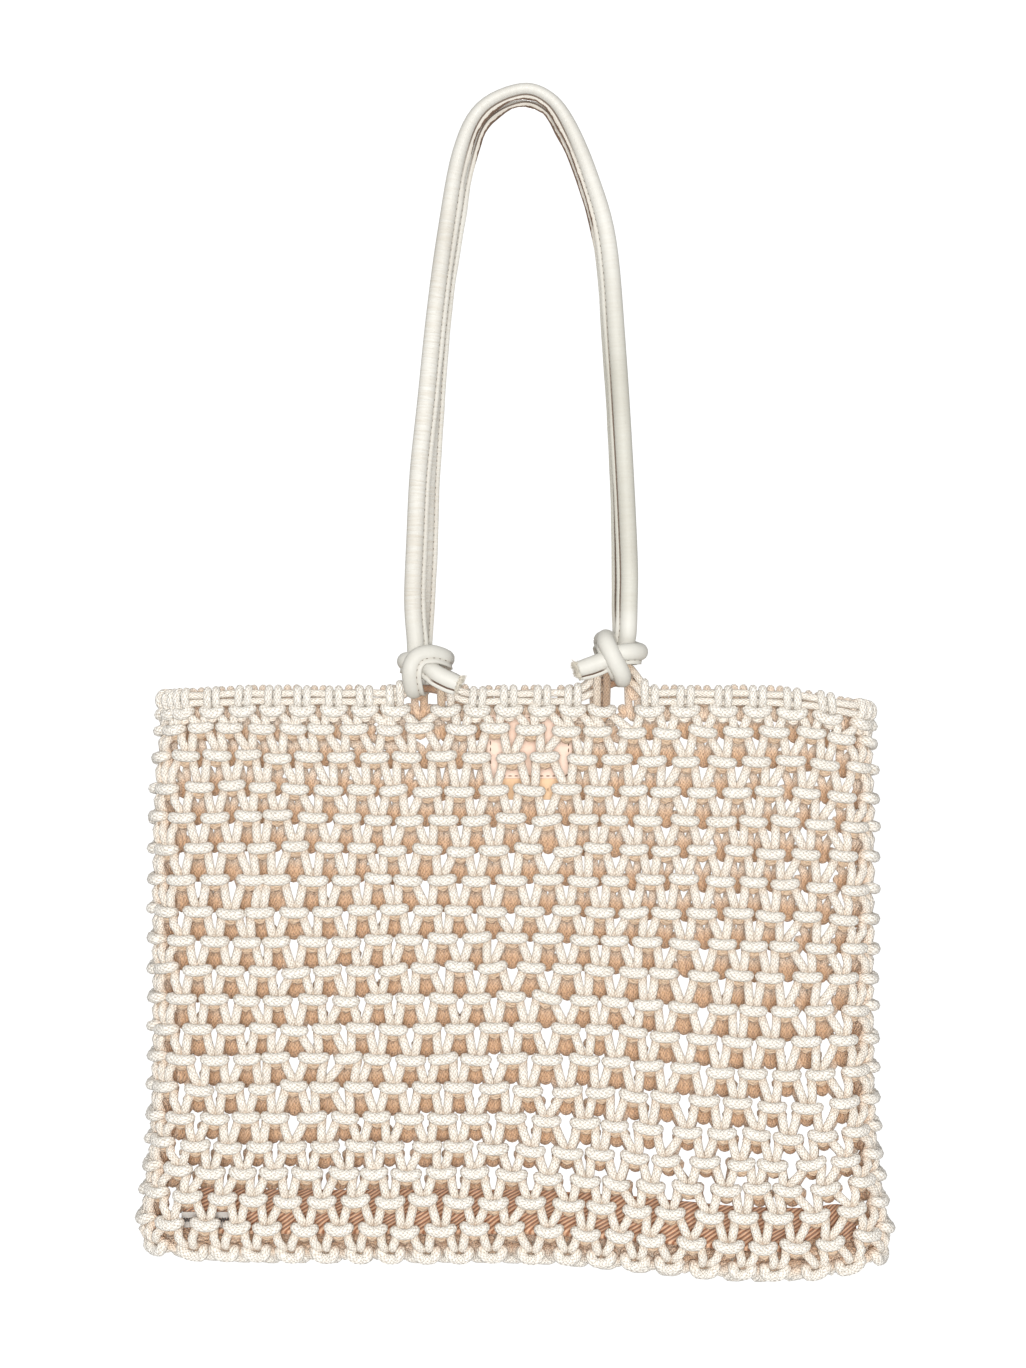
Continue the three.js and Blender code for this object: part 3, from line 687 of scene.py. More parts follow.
# The zigzag of one cord round the bag, through the bars of a row and the nubs of the next.
def rowControl(row):
    shift = row % 2
    curve = rowCurve[row]
    downs = net["rowsDown"] + [net["afterLast"]]
    tight = min(1, (downs[row + 1] - downs[row]) / 14) ** 1.7
    nubTight = np.array([tight, tight, 1, 1, 1])
    start = atKnot(row, 0, barTop, False, curve)
    startEnd = atKnot(row, 0, barEnd, False, tight)
    down = atKnot(row + 1, shift, nubPart, False, nubTight)
    up = atKnot(row + 1, shift, nubPart[:-1][::-1], True, nubTight[:-1][::-1])
    endEnd = atKnot(row, 1, barEnd[::-1], True, tight)
    end = atKnot(row, 1, barTop[1:][::-1], True, curve)
    slack = np.array([0, 0, net["slack"]])
    leftArm = (startEnd[:, -1:] + down[:, :1]) / 2 + slack
    rightArm = (up[:, -1:] + endEnd[:, :1]) / 2 + slack
    return np.concatenate([start, startEnd, leftArm, down, up, rightArm, endEnd, end], 1)


# For each point from bar to bar: pieces of the span after it, how thick it is, and how much it lies in the
# shade of its knot.
spanPieces = [1, 2, 2, 2, 2, 1, 1, 2, 2, 2, 2, 2, 2, 2, 2, 1, 1, 2, 2, 2, 2, 1]
barWeight = np.array([1, 1, 0.8, 0.5, 0.2, 0, 0, 0, 0, 0, 0.1, 0.1, 0, 0, 0, 0, 0, 0.2, 0.5, 0.8, 1, 1])
shadeWeight = np.array([0, 0, 0, 0.1, 0.7, 0.45, 0, 0.15, 0.7, 1, 1, 1, 1, 1, 0.7, 0.15, 0, 0.45, 0.7, 0.1,
                        0, 0])


def bandOfRows(name, rows):
    parts = []
    weights = np.tile(np.stack([barWeight, shadeWeight], -1), (net["columns"], 1))[None]
    for row in rows:
        both = np.concatenate([rowControl(row).reshape(1, -1, 3), weights], -1)
        dense = catmull(both, spanPieces, True, np.array([1.0, 0, 0, 0, 0]))
        share, down, n, thick, shade = (dense[..., k] for k in range(5))
        points, out = netSurface(share, down, n)
        radius = net["armRadius"] + (net["barRadius"] - net["armRadius"]) * np.clip(thick, 0, 1)
        verts, quads, uv, lean = tubeMesh(points, out, radius, net["sides"], True, sum(spanPieces))
        parts.append((verts, quads, uv, n[..., None] + lean, shade))
    item = joinParts(name, parts, cottonMaterial)
    declare(item, "cotton_net", "net_body")
    return len(item.data.polygons)


bands = {"upper": range(0, 6), "middle": range(6, 12), "lower": range(12, 18), "edge": range(18, 21)}
quadCount = sum(bandOfRows("net_rows_" + name, rows) for name, rows in bands.items())
print("stage: net knotted,", quadCount * 2, "triangles")

# The base's middle rows, knotted across between the front and the back.
baseNet = {"rows": [-14.5, 0.0, 14.5], "pitch": 17.2, "columns": 19, "afterLast": 29.0, "jitter": 0.5,
           "radius": 2.45}


def baseLevel(x):
    across = np.clip(x / (bag["baseWidth"] / 2), -1, 1)
    return levelOf(bag["netBottom"] + bag["midInset"], hangBase, across)


def makeBaseRows():
    parts, places = [], []
    columns = baseNet["columns"]
    slack = np.array([0, 0, net["slack"]])
    for index, y in enumerate(baseNet["rows"] + [baseNet["afterLast"]]):
        x = (np.arange(columns + 1) - columns / 2 + 0.5 * (index % 2)) * baseNet["pitch"]
        across = x + rng.normal(0, baseNet["jitter"], x.shape)
        back = y + rng.normal(0, baseNet["jitter"], x.shape)
        places.append(np.stack([across, back, 0 * x], -1))
    for index in range(len(baseNet["rows"])):
        control = []
        shift = index % 2
        for c in range(columns - shift):
            here, after, below = places[index][c], places[index][c + 1], places[index + 1][c + shift]
            start, down = barPart + here, nubPart + below
            up, end = (nubPart * flip)[:-1][::-1] + below, (barPart * flip)[1:][::-1] + after
            control += [start, (start[-1:] + down[:1]) / 2 + slack, down, up,
                        (up[-1:] + end[:1]) / 2 + slack, end]
        weights = np.tile(shadeWeight[:, None], (columns - shift, 1))
        dense = catmull(np.concatenate([np.concatenate(control), weights], -1)[None], spanPieces, False)
        x, y, n, shade = (dense[..., k] for k in range(4))
        points = np.stack([x + leanAside[-1], y, baseLevel(x) - n], -1)
        out = np.broadcast_to(np.array([0, 0, -1.0]), points.shape)
        verts, quads, uv, lean = tubeMesh(points, out, baseNet["radius"], net["sides"], False)
        parts.append((verts, quads, uv, n[..., None] + lean, shade))
    return parts


declare(joinParts("net_base_rows", makeBaseRows(), cottonMaterial), "cotton_net", "net_body")

# The rim: two cords that rise into the handles' eyes, and a looped pair over them in each column.
rim = {
    "upper": -6.2,
    "lower": -2.2,
    "radius": 1.85,
    "loopRadius": 2.1,
    "spanOut": 17.0,  # how wide the rise to an eye is, away from the middle and towards it
    "spanIn": 27.0,
    "inEye": 1.5,  # how far the cords part there, over the way "parted"
    "parted": 16,
    "pastEye": 3.5,
    "shaded": 15,
    "sides": 8,
    "rings": 520,
}


# How far the rim stands up near an eye, for a cord that lies at w elsewhere.
def riseAt(x, w):
    rise = 0 * x
    for eye in eyes:
        side = np.sign(eye["x"])
        gap = x - eye["x"] - rim["pastEye"] * side
        inward = gap * -side > 0
        span = np.where(inward, rim["spanIn"], rim["spanOut"])
        rise = rise + (eye["level"] - (bag["netTop"] - w)) * bump(gap / span)
    return rise


def nearEyes(x, span):
    return sum(bump((x - eye["x"]) / span) for eye in eyes)


def rimTubes(share, w, n, radius):
    place, out = netSurface(share, w, n)
    inFront = np.where(place[..., 1] < 0, 1.0, 0.0)
    place[..., 2] += riseAt(place[..., 0], np.minimum(w, 0)) * np.clip(-w / 4.0, 0, 1)
    verts, quads, uv, lean = tubeMesh(place, out, radius, rim["sides"], True)
    shade = (1.0 + inFront * 0.8) * nearEyes(place[..., 0], rim["shaded"])
    return verts, quads, uv, n[..., None] + lean, shade


def makeRimCords():
    parts = []
    share = np.arange(rim["rings"])[None] / rim["rings"] - 0.5
    for level, side in ((rim["upper"], 1), (rim["lower"], -1)):
        w = level + 0.25 * np.sin(2 * math.pi * 26 * share + side)
        place, _ = netSurface(share, w, 0 * w)
        n = side * rim["inEye"] * nearEyes(place[..., 0], rim["parted"])
        parts.append(rimTubes(share, w, n, rim["radius"]))
    return parts


# One side of a looped pair, from its nub up behind the first bar, over the rim cords and down behind them.
loopPart = np.array([(0, 6.5, -1.1), (1.3, 5.6, -1.9), (1.8, 3.6, -2.5), (2.1, 0.8, -1.0),
                     (2.35, -1.6, 1.9), (2.4, -3.8, 3.1), (2.4, -6.4, 2.9), (2.35, -8.2, 1.3),
                     (2.3, -8.3, -0.7), (2.25, -6.6, -2.8), (2.0, -3.6, -3.4), (1.3, -1.7, -3.5),
                     (0, -1.0, -3.5)])


def makeRimLoops():
    table = np.concatenate([loopPart, (loopPart * flip)[1:-1][::-1]])
    length = perimeterAt(np.zeros(1))[0]
    share, stretch = knotShare[0][:, None], knotStretch[0][:, None]
    lean = rng.normal(0, 0.06, share.shape)
    dx = table[None, :, 0] * np.sqrt(stretch)
    w = table[None, :, 1] + rng.normal(0, 0.25, share.shape)
    control = np.stack([share + (dx - lean * table[None, :, 1]) / length, w, table[None, :, 2] + 0 * w], -1)
    dense = catmull(control, [2], True, np.zeros(3))
    return [rimTubes(dense[..., 0], dense[..., 1], dense[..., 2], rim["loopRadius"])]


rimItem = joinParts("rim_header_cords", makeRimCords(), cottonMaterial)
declare(rimItem, "cotton_cord", "rim_cord_upper", "rim_cord_lower")
declare(joinParts("rim_loops", makeRimLoops(), cottonMaterial), "cotton_cord")
print("stage: base and rim made")

# Handles: across and height as shares of the spread and the drop, the back one's shift in tube diameters,
# and how flat the tube is, as in the solids.
archTable = np.array([
    (-0.97, -0.924, 0.1, 0), (-0.995, -0.855, 0.4, 0), (-0.975, -0.748, 0.45, 0),
    (-0.945, -0.636, 0.4, 0), (-0.875, -0.512, 0.25, 0), (-0.795, -0.363, 0.15, 0.1),
    (-0.695, -0.223, 0.2, 0.2), (-0.565, -0.086, 0.25, 0.5), (-0.364, -0.01, 0.1, 0.8),
    (0.009, 0.0227, 0, 1), (0.278, 0.0073, 0, 0.9), (0.472, -0.042, 0, 0.6),
    (0.667, -0.1315, 0, 0.3), (0.824, -0.24, 0, 0.1), (0.907, -0.42, 0, 0), (0.972, -0.615, 0, 0),
    (1.014, -0.786, -0.1, 0), (1.012, -0.859, -0.1, 0)])
# across, inward, up in tube diameters, from the leg to the tail.
leftKnot = np.array([
    (-0.63, 0.1, 0.95), (-0.52, 0.53, 0.36), (-0.51, 0.94, -0.33), (-0.62, 0.76, -0.97), (-0.74, 0.11, -1.23),
    (-0.83, -0.64, -0.96), (-0.9, -1.1, -0.3), (-0.78, -1.17, 0.28), (-0.4, -1.06, 0.69), (0.28, -0.78, 0.8),
    (0.89, -0.13, 0.62), (0.84, 0.58, 0.51), (0.22, 1.2, 0.46), (-0.56, 1.3, 0.4), (-1.13, 0.73, 0.34),
    (-1.16, 0.17, 0.4), (-0.72, -0.26, 0.42), (0, -0.6, 0.1), (0.56, -0.76, -0.33), (1.11, -0.8, -0.62),
    (1.72, -0.8, -0.88)])
rightKnot = np.array([
    (0.75, 0.05, 1.5), (0.69, 0.2, 0.9), (0.56, 0.58, 0.26), (0.5, 0.97, -0.46), (0.47, 0.8, -1.06),
    (0.44, 0.11, -1.32), (0.36, -0.7, -1.0), (0.06, -1.11, -0.44), (-0.22, -1.18, 0.11), (-0.49, -0.91, 0.67),
    (-0.51, -0.11, 0.95), (-0.11, 0.69, 0.76), (0.56, 1.13, 0.51), (1.11, 0.67, 0.29), (1.37, -0.09, 0.18),
    (0.89, -0.67, 0.18), (0.22, -0.79, 0.09), (-0.44, -0.77, -0.2), (-1.11, -0.77, -0.49),
    (-2.05, -0.74, -0.8)])
handle = {
    "leftKnot": (-46.5, -286.5),
    "rightKnot": (47.5, -280.0),
    "radius": 4.4,
    "flange": 1.9,
    "flangeHalf": 0.75,
    "roundPoints": 18,
    "perSpan": 6,
    "open": 24,  # degrees to each side of the seam
    "flatter": 0.33,  # how much less deep and wider the tube is at the top
    "wider": 0.2,
    "cutLength": 13,
    "endInset": 0.7,
    "endDepth": 0.4,
    "fibres": 220,
    "fibreRadius": 0.19,
    "seed": 5,
}


# Middle line of a handle from tail to tail, and how flat the tube is along it.
def handleLine(sideSign):
    tube = bag["tube"]
    knotDepth = bag["rimDepth"] / 2 - bag["midInset"] + 0.11 * tube

    def knot(table, middle):
        x, inward, up = table.T * tube
        return np.stack([middle[0] + x, sideSign * (knotDepth - inward), middle[1] + up, 0 * x], -1)

    across, height, backShift, flat = archTable.T
    shift = backShift * tube if sideSign > 0 else 0
    share = np.maximum((height - height[0]) / (height.max() - height[0]), 0)
    depth = knotDepth + share * (bag["apexDepth"] / 2 - knotDepth)
    arch = np.stack([across * bag["handleSpread"] + shift, sideSign * depth,
                     height * bag["handleDrop"], flat], -1)
    left, right = knot(leftKnot, handle["leftKnot"])[::-1], knot(rightKnot, handle["rightKnot"])
    return catmull(np.concatenate([left, arch, right]), [handle["perSpan"]], False)


# Rings round the tube, each from one edge of the sewn flange round to the other.
def handleRings(points, flat, normals, across, along, random):
    wave = 0.25 * np.sin(along / 9) + 0.2 * np.sin(along / 4.1 + 1) + random.normal(0, 0.06, len(along))
    r, half = handle["radius"], handle["flangeHalf"]
    spread = np.radians(np.linspace(handle["open"], 360 - handle["open"], handle["roundPoints"]))
    rings = []
    for index, point in enumerate(points):
        end = min(index, len(points) - 1 - index)
        slimmer = 0.9 + 0.1 * min(end / 4, 1)
        deep = r * (1 - handle["flatter"] * flat[index]) * slimmer
        wide = r * (1 + handle["wider"] * flat[index]) * slimmer
        reach = deep + handle["flange"] + wave[index] * (0.3 + 1.4 * flat[index]) + 0.8 * flat[index]
        shear = 1.3 * flat[index] * math.sin(along[index] / 3.3)
        section = [(reach, shear + half * 0.7), (deep + 0.75, half), (deep * 0.955, half + 0.35)]
        section += [(deep * math.cos(angle), wide * math.sin(angle)) for angle in spread]
        section += [(deep * 0.955, -half - 0.35), (deep + 0.75, -half), (reach, shear - half * 0.7)]
        rings.append([point + normals[index] * a + across[index] * b for a, b in section])
    return np.array(rings)


# Where the leather is stitched, wrinkled or raw, where its seam line is dark, and where it gets painted
# shade, for the material to read. x is the way to the right and -z the way down from the handles' tops, in
# mm.
def markHandle(item, points, flat, along, count):
    x, z = points[:, 0], points[:, 2]
    toEnd = np.minimum(along, along[-1] - along)
    onKnot = fade(-z, 255, 12)
    atRight = fade(x, 30, 6) * fade(-z, 95, 60) * (1 - onKnot)
    shaded = fade(x, 30, 10) * fade(-z, 60, 80) * (1 - onKnot)
    atTop = fade(flat, 0.35, 0.25)
    perRing = {
        # dark seam line: near both ends, and on the right leg and the top
        "cut": np.maximum(fade(-toEnd, -handle["cutLength"], 2), 0.85 * np.maximum(atRight, atTop)),
        "stitched": fade(-flat, -0.55, 0.25) * (toEnd > handle["cutLength"]),
        # painted shade: the right leg below, and less of it on the knots
        "paintedShade": np.maximum(shaded, 0.35 * onKnot),
        "wrinkle": np.clip((0.25 + 0.75 * fade(-x, 30, 12)) * (1 - onKnot) + 0.12, 0, 1),
        "along": along,
    }
    for name, values in perRing.items():
        addAttribute(item, name, np.repeat(values, count))
    seam, raw = np.zeros(count), np.zeros(count)
    seam[[2, -3]] = 1.0
    raw[[0, 1, -2, -1]] = [1, 0.4, 0.4, 1]
    rawness = np.maximum(np.clip((flat - 0.25) * 3, 0.1, 1), fade(x, 8, 8) * fade(z, -80, 20))
    addAttribute(item, "seam", np.tile(seam, len(points)))
    addAttribute(item, "raw", np.repeat(rawness, count) * np.tile(raw, len(points)))


def makeHandle(name, sideSign, nodeName):
    line = handleLine(sideSign)
    points, flat = line[:, :3], np.clip(line[:, 3], 0, 1)
    tangents = unit(np.gradient(points, axis=0))
    apex = int(points[:, 2].argmax())
    inward = np.array([0, 0, -1.0])
    right = carryNormals(points[apex:], tangents[apex:], inward)
    left = carryNormals(points[:apex + 1][::-1], -tangents[:apex + 1][::-1], inward)[::-1]
    normals = np.concatenate([left[:-1], right])
    across = np.cross(tangents, normals)
    random = np.random.default_rng(handle["seed"] + sideSign)
    along = np.concatenate([[0], np.cumsum(np.linalg.norm(np.diff(points, axis=0), axis=1))])
    rings = handleRings(points, flat, normals, across, along, random)
    count = rings.shape[1]
    item = newObject(name, rings.reshape(-1, 3) * mm, ringQuads(len(points), count), handleMaterial)
    addUv(item, ringUv(along / (2 * math.pi * handle["radius"]), count))
    markHandle(item, points, flat, along, count)
    editMesh(item, closeEnds)
    declare(item, "handle_leather", nodeName)
    makeFray(name + "_fray", [(points[end], sign * tangents[end], normals[end], across[end])
                              for end, sign in ((0, -1), (-1, 1))], random)


# Fills both ends of a swept tube with a face that is set in a little.
def closeEnds(work):
    made = fillHoles(work)
    inner = bmesh.ops.inset_region(work, faces=made, thickness=handle["endInset"] * mm,
                                   depth=-handle["endDepth"] * mm)["faces"]
    for face in made + inner:
        face.smooth = False
    bmesh.ops.triangulate(work, faces=[face for face in work.faces if len(face.verts) > 4])


# Thin three-sided fibres between pairs of points, in mm.
def spikes(starts, ends, radius):
    axis = unit(ends - starts)
    aside = unit(np.cross(axis, np.array([0.3, 0.9, 0.2])))
    other = np.cross(axis, aside)
    angles = 2 * math.pi * np.arange(3) / 3
    ring = aside[:, None] * np.cos(angles)[:, None] + other[:, None] * np.sin(angles)[:, None]
    verts = np.concatenate([starts[:, None] + radius * ring, ends[:, None] + 0.35 * radius * ring], 1)
    base = np.arange(len(starts))[:, None] * 6
    faces = [[0, 1, 4], [0, 4, 3], [1, 2, 5], [1, 5, 4], [2, 0, 3], [2, 3, 5], [0, 2, 1], [3, 4, 5]]
    faces = (base[:, :, None] + np.array(faces)[None]).reshape(-1, 3)
    return verts.reshape(-1, 3), faces


# Raw fibres round the cut ends of a handle.
def makeFray(name, ends, random):
    starts, tips = [], []
    for place, direction, normal, across in ends:
        for _ in range(handle["fibres"]):
            angle = random.uniform(0, 2 * math.pi)
            reach = handle["radius"] * random.uniform(0.55, 0.98)
            root = place + reach * (math.cos(angle) * normal + math.sin(angle) * across) - 0.6 * direction
            aim = direction + random.normal(0, 0.5, 3)
            starts.append(root)
            tips.append(root + aim / np.linalg.norm(aim) * random.uniform(1.2, 3.0))
    verts, faces = spikes(np.array(starts), np.array(tips), handle["fibreRadius"])
    declare(newObject(name, verts * mm, faces, fibreMaterial), "handle_leather")


makeHandle("front_handle_tube", -1, "handle_front")
makeHandle("back_handle_tube", 1, "handle_back")
print("stage: handles made")

# Pieces inside the bag. "off" is the gap between a leather piece and the wall behind it.
inside = {
    "patch": {"left": -17.0, "right": 27.0, "top": -310.4, "height": 33.0, "off": 1.8, "thick": 1.6,
              "corner": 2.5},
    "tab": {"left": -11.0, "right": 27.0, "top": -314.4, "height": 40.0, "off": 0.3, "thick": 1.2,
            "corner": 4.0},
    "stitchPitch": 3.2,
    "stitchLength": 2.1,
    "stitchRadius": 0.3,
    "edge": 2.2,
}


def innerWall(z):
    down = (bag["netTop"] - z) / (bag["netTop"] - bag["netBottom"])
    return outlineAt(0, np.interp(down, profileDown, profileDepth))[1] - bag["wallInside"]


def closeSoft(work):
    fillHoles(work)
    bmesh.ops.recalc_face_normals(work, faces=work.faces)


def closeFlat(work):
    for face in fillHoles(work):
        face.smooth = False
    bmesh.ops.recalc_face_normals(work, faces=work.faces)


# A leather piece with rounded corners and edges against the inside of the back.
def hangingSheet(name, facts, material, slotName, nodeName):
    left, right, top, c, t = (facts[key] for key in ("left", "right", "top", "corner", "thick"))
    bottom = top - facts["height"]
    outline = []
    for x, z, first in ((right - c, top - c, 0), (left + c, top - c, 90),
                        (left + c, bottom + c, 180), (right - c, bottom + c, 270)):
        for step in range(6):
            angle = math.radians(first + 18 * step)
            outline.append((x + c * math.cos(angle), z + c * math.sin(angle)))
    outline = np.array(outline)
    pull = unit(np.array([(left + right) / 2, (top + bottom) / 2]) - outline)
    near, far = facts["off"], facts["off"] + t
    rings = []
    for inset, off in ((0.35, far), (0.05, far - 0.25 * t), (0, far - 0.5 * t), (0.05, near + 0.25 * t),
                       (0.35, near)):
        x, z = (outline + pull * inset).T
        rings.append(np.stack([x, innerWall(z) - off, z], -1))
    quads = ringQuads(len(rings), len(outline))[:, [0, 3, 2, 1]]
    item = newObject(name, np.concatenate(rings) * mm, quads, material)
    editMesh(item, closeFlat)
    declare(item, slotName, nodeName)
    return outline, pull, far


# Instances a rounded stitch on each point, turned along its own direction.
def stitchTree():
    tree = bpy.data.node_groups.new("stitches", "GeometryNodeTree")
    for name, way, kind in (("Geometry", "INPUT", "Geometry"), ("Length", "INPUT", "Float"),
                            ("Radius", "INPUT", "Float"), ("Geometry", "OUTPUT", "Geometry")):
        tree.interface.new_socket(name, in_out=way, socket_type="NodeSocket" + kind)
    given = addNode(tree, "NodeGroupInput").outputs
    shape = addNode(tree, "GeometryNodeMeshUVSphere", {"Segments": 8, "Rings": 6, "Radius": given["Radius"]})
    radii = calculate(tree, "DIVIDE", given["Length"], given["Radius"])
    scale = addNode(tree, "ShaderNodeCombineXYZ", {0: times(tree, radii, 0.5), 1: 1, 2: 1})
    named = addNode(tree, "GeometryNodeInputNamedAttribute", {"Name": "direction"}, data_type="FLOAT_VECTOR")
    direction = named.outputs["Attribute"]
    turn = addNode(tree, "FunctionNodeAlignRotationToVector", {"Vector": direction}, axis="X")
    each = addNode(tree, "GeometryNodeInstanceOnPoints", {
        "Points": given["Geometry"], "Instance": shape.outputs["Mesh"],
        "Rotation": turn.outputs[0], "Scale": scale.outputs[0]})
    real = addNode(tree, "GeometryNodeRealizeInstances", {0: each.outputs[0]})
    painted = addNode(tree, "GeometryNodeSetMaterial", {0: real.outputs[0], "Material": threadMaterial})
    addNode(tree, "NodeGroupOutput", {0: painted.outputs[0]})
    return tree


stitches = stitchTree()


def makeStitches(name, points, directions, slotName):
    mesh = bpy.data.meshes.new(name + "_points")
    mesh.from_pydata([tuple(point) for point in points * mm], [], [])
    layer = mesh.attributes.new("direction", "FLOAT_VECTOR", "POINT")
    layer.data.foreach_set("vector", np.ascontiguousarray(directions, np.float32).ravel())
    source = bpy.data.objects.new(name + "_points", mesh)
    bpy.context.collection.objects.link(source)
    modifier = source.modifiers.new("stitches", "NODES")
    modifier.node_group = stitches
    sizes = {"Length": inside["stitchLength"] * mm, "Radius": inside["stitchRadius"] * mm}
    for socket in stitches.interface.items_tree:
        if socket.in_out == "INPUT" and socket.name in sizes:
            modifier[socket.identifier] = sizes[socket.name]
    graph = bpy.context.evaluated_depsgraph_get()
    made = bpy.data.meshes.new_from_object(source.evaluated_get(graph))
    item = bpy.data.objects.new(name, made)
    bpy.context.collection.objects.link(item)
    bpy.data.objects.remove(source)
    made.polygons.foreach_set("use_smooth", np.full(len(made.polygons), True))
    declare(item, slotName)


# Points and directions every pitch along an outline that is set in from the edge.
def edgeStitches(outline, pull, far):
    line = outline + pull * inside["edge"]
    closed = np.concatenate([line, line[:1]])
    along = np.concatenate([[0], np.cumsum(np.linalg.norm(np.diff(closed, axis=0), axis=1))])

    def pointAt(at):
        return np.stack([np.interp(at, along, closed[:, k]) for k in (0, 1)], -1)

    count = int(along[-1] / inside["stitchPitch"])
    at = (np.arange(count) + 0.5) * along[-1] / count
    x, z = pointAt(at).T
    toX, toZ = unit(pointAt((at + 0.4) % along[-1]) - pointAt(at)).T
    return np.stack([x, innerWall(z) - far - 0.05, z], -1), np.stack([toX, 0 * toX, toZ], -1)


hangingSheet("tan_tab", inside["tab"], tabMaterial, "tab_leather", "inner_tab")
patchEdge = hangingSheet("peach_patch", inside["patch"], patchMaterial, "patch_leather", "inner_patch")
makeStitches("patch_stitches", *edgeStitches(*patchEdge), "patch_leather")

# A flat cloth pouch that lies along the base and leans on the back, with soft creases.
pouch = {
    "rings": 120,
    "sides": 40,
    "depth": 36.0,
    "thick": 5.0,
    "rise": 17.5,
    "half": 173.0,
    "backGap": 1.6,
    "taper": 10.0,
    "floorGap": -0.3,
}


def makePouch():
    slope = math.asin(pouch["rise"] / pouch["depth"])
    backY = innerWall(bag["netBottom"] + pouch["rise"] + pouch["thick"]) - pouch["backGap"]
    frontY = backY - pouch["depth"] * math.cos(slope)
    verts, flat = [], []
    for t in np.linspace(-1, 1, pouch["rings"]):
        x = t * pouch["half"]
        end = np.clip((abs(t) - 0.9) / 0.1, 0, 1)
        depth = pouch["depth"] - pouch["taper"] * end ** 2
        thick = pouch["thick"] * (1 - 0.75 * end ** 3)
        floor = baseLevel(np.array([x]))[0] + bag["midInset"] + pouch["floorGap"] + 4 * end
        for angle in np.linspace(0, 2 * math.pi, pouch["sides"] + 1)[:-1]:
            c, s = math.cos(angle), math.sin(angle)
            run = depth / 2 * (1 - np.sign(c) * abs(c) ** 0.35)
            up = thick / 2 * (1 + np.sign(s) * abs(s) ** 0.6)
            up += max(s, 0) * (0.7 * math.sin(x / 17 + run / 9) + 0.45 * math.sin(x / 6.3 - run / 5) - 0.6)
            verts.append((x, frontY + run * math.cos(slope) - up * math.sin(slope),
                          floor + run * math.sin(slope) + up * math.cos(slope)))
            flat.append((x, run if s > 0 else -run))
    quads = ringQuads(pouch["rings"], pouch["sides"])[:, [0, 3, 2, 1]]
    item = newObject("twill_pouch_cloth", np.array(verts) * mm, quads, twillMaterial)
    addUv(item, np.array(flat)[quads.ravel()])
    editMesh(item, closeSoft)
    declare(item, "twill", "twill_pouch")
    return frontY


pouchFront = makePouch()

# The zip at the pouch's left end: two strips of tape, and teeth in two rows over the gap between them.
zipper = {
    "left": -173.0,
    "length": 25.5,
    "bottom": -572.4,
    "height": 8.0,
    "strip": 3.3,
    "thick": 1.0,
    "pitch": 1.4,
    "teethAt": ((0.3, 2.9), (1.0, 3.7)),  # along and up to the first tooth of each row
    "toothLength": 0.8,
    "toothHeight": 1.4,
    "toothSunk": 0.2,
    "off": 0.35,  # from the pouch to the tape, and from the tape's front to the teeth's
    "bevel": 0.12,
}
boxFaces = np.array([[0, 1, 3, 2], [4, 6, 7, 5], [0, 4, 5, 1], [2, 3, 7, 6], [0, 2, 6, 4], [1, 5, 7, 3]])


def bevelEdges(work):
    bmesh.ops.bevel(work, geom=list(work.edges), offset=zipper["bevel"] * mm, segments=1, affect="EDGES")


# One object from boxes, each given as (x0, x1, y0, y1, z0, z1).
def manyBoxes(name, boxes, material, *nodeNames):
    verts = [(x, y, z) for box in boxes for x in box[:2] for y in box[2:4] for z in box[4:]]
    faces = (boxFaces[None] + (np.arange(len(boxes)) * 8)[:, None, None]).reshape(-1, 4)
    item = newObject(name, np.array(verts) * mm, faces, material, False)
    editMesh(item, bevelEdges)
    declare(item, "zip_tape", *nodeNames)


def makeZip():
    left, bottom, strip = zipper["left"], zipper["bottom"], zipper["strip"]
    right, top = left + zipper["length"], bottom + zipper["height"]
    y1 = pouchFront - zipper["off"]
    y0 = y1 - zipper["thick"]
    strips = [(left, right, y0, y1, bottom, bottom + strip), (left, right, y0, y1, top - strip, top)]
    manyBoxes("zip_tape", strips, zipMaterial, "pouch_zip")
    teeth = []
    for index in range(int(zipper["length"] / zipper["pitch"])):
        for along, up in zipper["teethAt"]:
            start, low = left + along + index * zipper["pitch"], bottom + up
            stop = min(start + zipper["toothLength"], right)
            teeth.append((start, stop, y0 - zipper["off"], y1 - zipper["toothSunk"],
                          low, low + zipper["toothHeight"]))
    manyBoxes("zip_teeth", teeth, teethMaterial)


makeZip()
print("stage: inside pieces made")

# Camera, light and floor. The camera's distance is measured from the front of the net.
photo = {
    "width": 1026,
    "height": 1368,
    "scale": 0.5 * mm,
    "originX": 520,
    "originY": 95,
    "distance": 2.0,
    "front": -0.038,
    "sensor": 36,
}


def makeCamera():
    data = bpy.data.cameras.new("camera")
    camera = bpy.data.objects.new("camera", data)
    bpy.context.collection.objects.link(camera)
    x = (photo["width"] / 2 - photo["originX"]) * photo["scale"]
    z = (photo["originY"] - photo["height"] / 2) * photo["scale"]
    camera.location = (x, photo["front"] - photo["distance"], z)
    camera.rotation_euler = (math.pi / 2, 0, 0)
    data.sensor_fit = "HORIZONTAL"
    data.sensor_width = photo["sensor"]
    data.lens = photo["sensor"] * photo["distance"] / (photo["width"] * photo["scale"])
    data.clip_end = 50
    bpy.context.scene.camera = camera


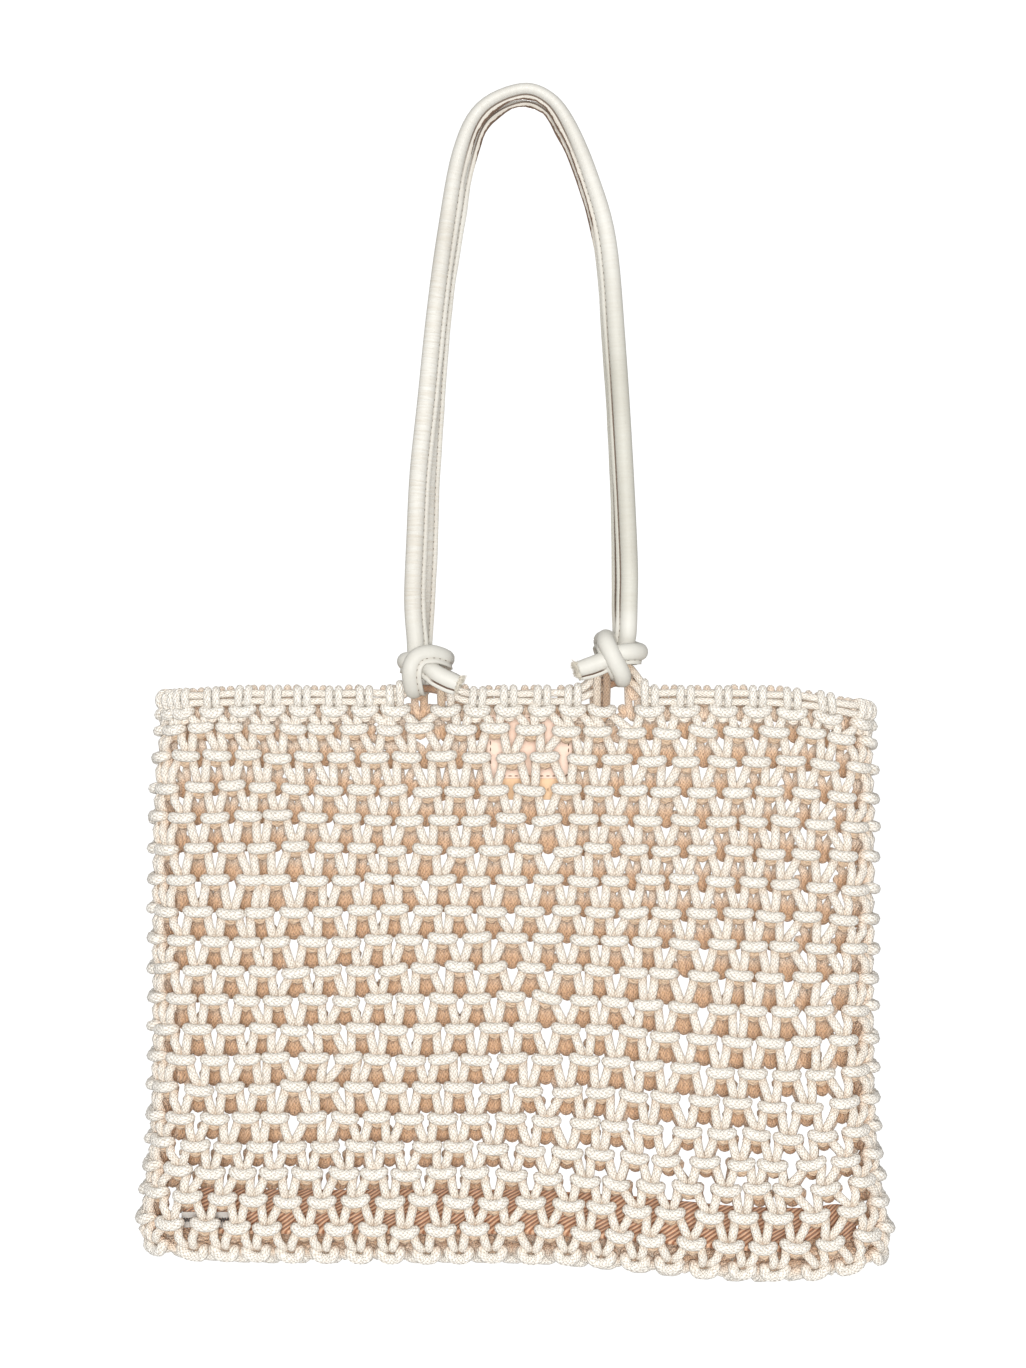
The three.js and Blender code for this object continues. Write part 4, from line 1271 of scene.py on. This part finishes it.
def areaLight(name, place, aim, size, power):
    data = bpy.data.lights.new(name, "AREA")
    data.shape = "RECTANGLE"
    data.size, data.size_y = size
    data.energy = power
    item = bpy.data.objects.new(name, data)
    bpy.context.collection.objects.link(item)
    item.location = place
    item.rotation_euler = (Vector(aim) - Vector(place)).to_track_quat("-Z", "Y").to_euler()


room = {
    "backdrop": 1.1,
    "fill": 0.55,
    "aim": (0, 0, -0.35),
    "lamps": {  # place, size, power
        "front": ((0, -2.4, -0.28), (0.16, 0.16), 58),
        "rear": ((0, 2.4, -0.28), (0.16, 0.16), 44),
        "above": ((-0.5, -0.9, 1.6), (1.2, 1.2), 5),
    },
    "floorLevel": -0.70,
    "floorRadius": 0.33,
    "paper": (0.86, 0.86, 0.86, 1),
}


def makeWorld():
    world = bpy.data.worlds.new("studio")
    bpy.context.scene.world = world
    world.use_nodes = True
    tree = world.node_tree
    backdrop = tree.nodes["Background"].inputs
    backdrop["Color"].default_value = (1, 1, 1, 1)
    seen = addNode(tree, "ShaderNodeLightPath").outputs["Is Camera Ray"]
    tree.links.new(timesPlus(tree, seen, room["backdrop"] - room["fill"], room["fill"]), backdrop["Strength"])


def makeFloor():
    mesh = bpy.data.meshes.new("floor")
    work = bmesh.new()
    bmesh.ops.create_circle(work, cap_ends=True, segments=96, radius=room["floorRadius"])
    bmesh.ops.translate(work, vec=(0, 0, room["floorLevel"]), verts=work.verts)
    work.to_mesh(mesh)
    work.free()
    floor = bpy.data.objects.new("floor", mesh)
    bpy.context.collection.objects.link(floor)
    material, tree = newMaterial("floorPaper")
    tree.nodes["Principled BSDF"].inputs["Base Color"].default_value = room["paper"]
    tree.nodes["Principled BSDF"].inputs["Roughness"].default_value = 0.95
    mesh.materials.append(material)


makeCamera()
makeWorld()
makeFloor()
for lampName, (lampPlace, lampSize, lampPower) in room["lamps"].items():
    areaLight(lampName, lampPlace, room["aim"], lampSize, lampPower)
bpy.context.scene.view_settings.view_transform = "Standard"
print("stage: camera and light made")
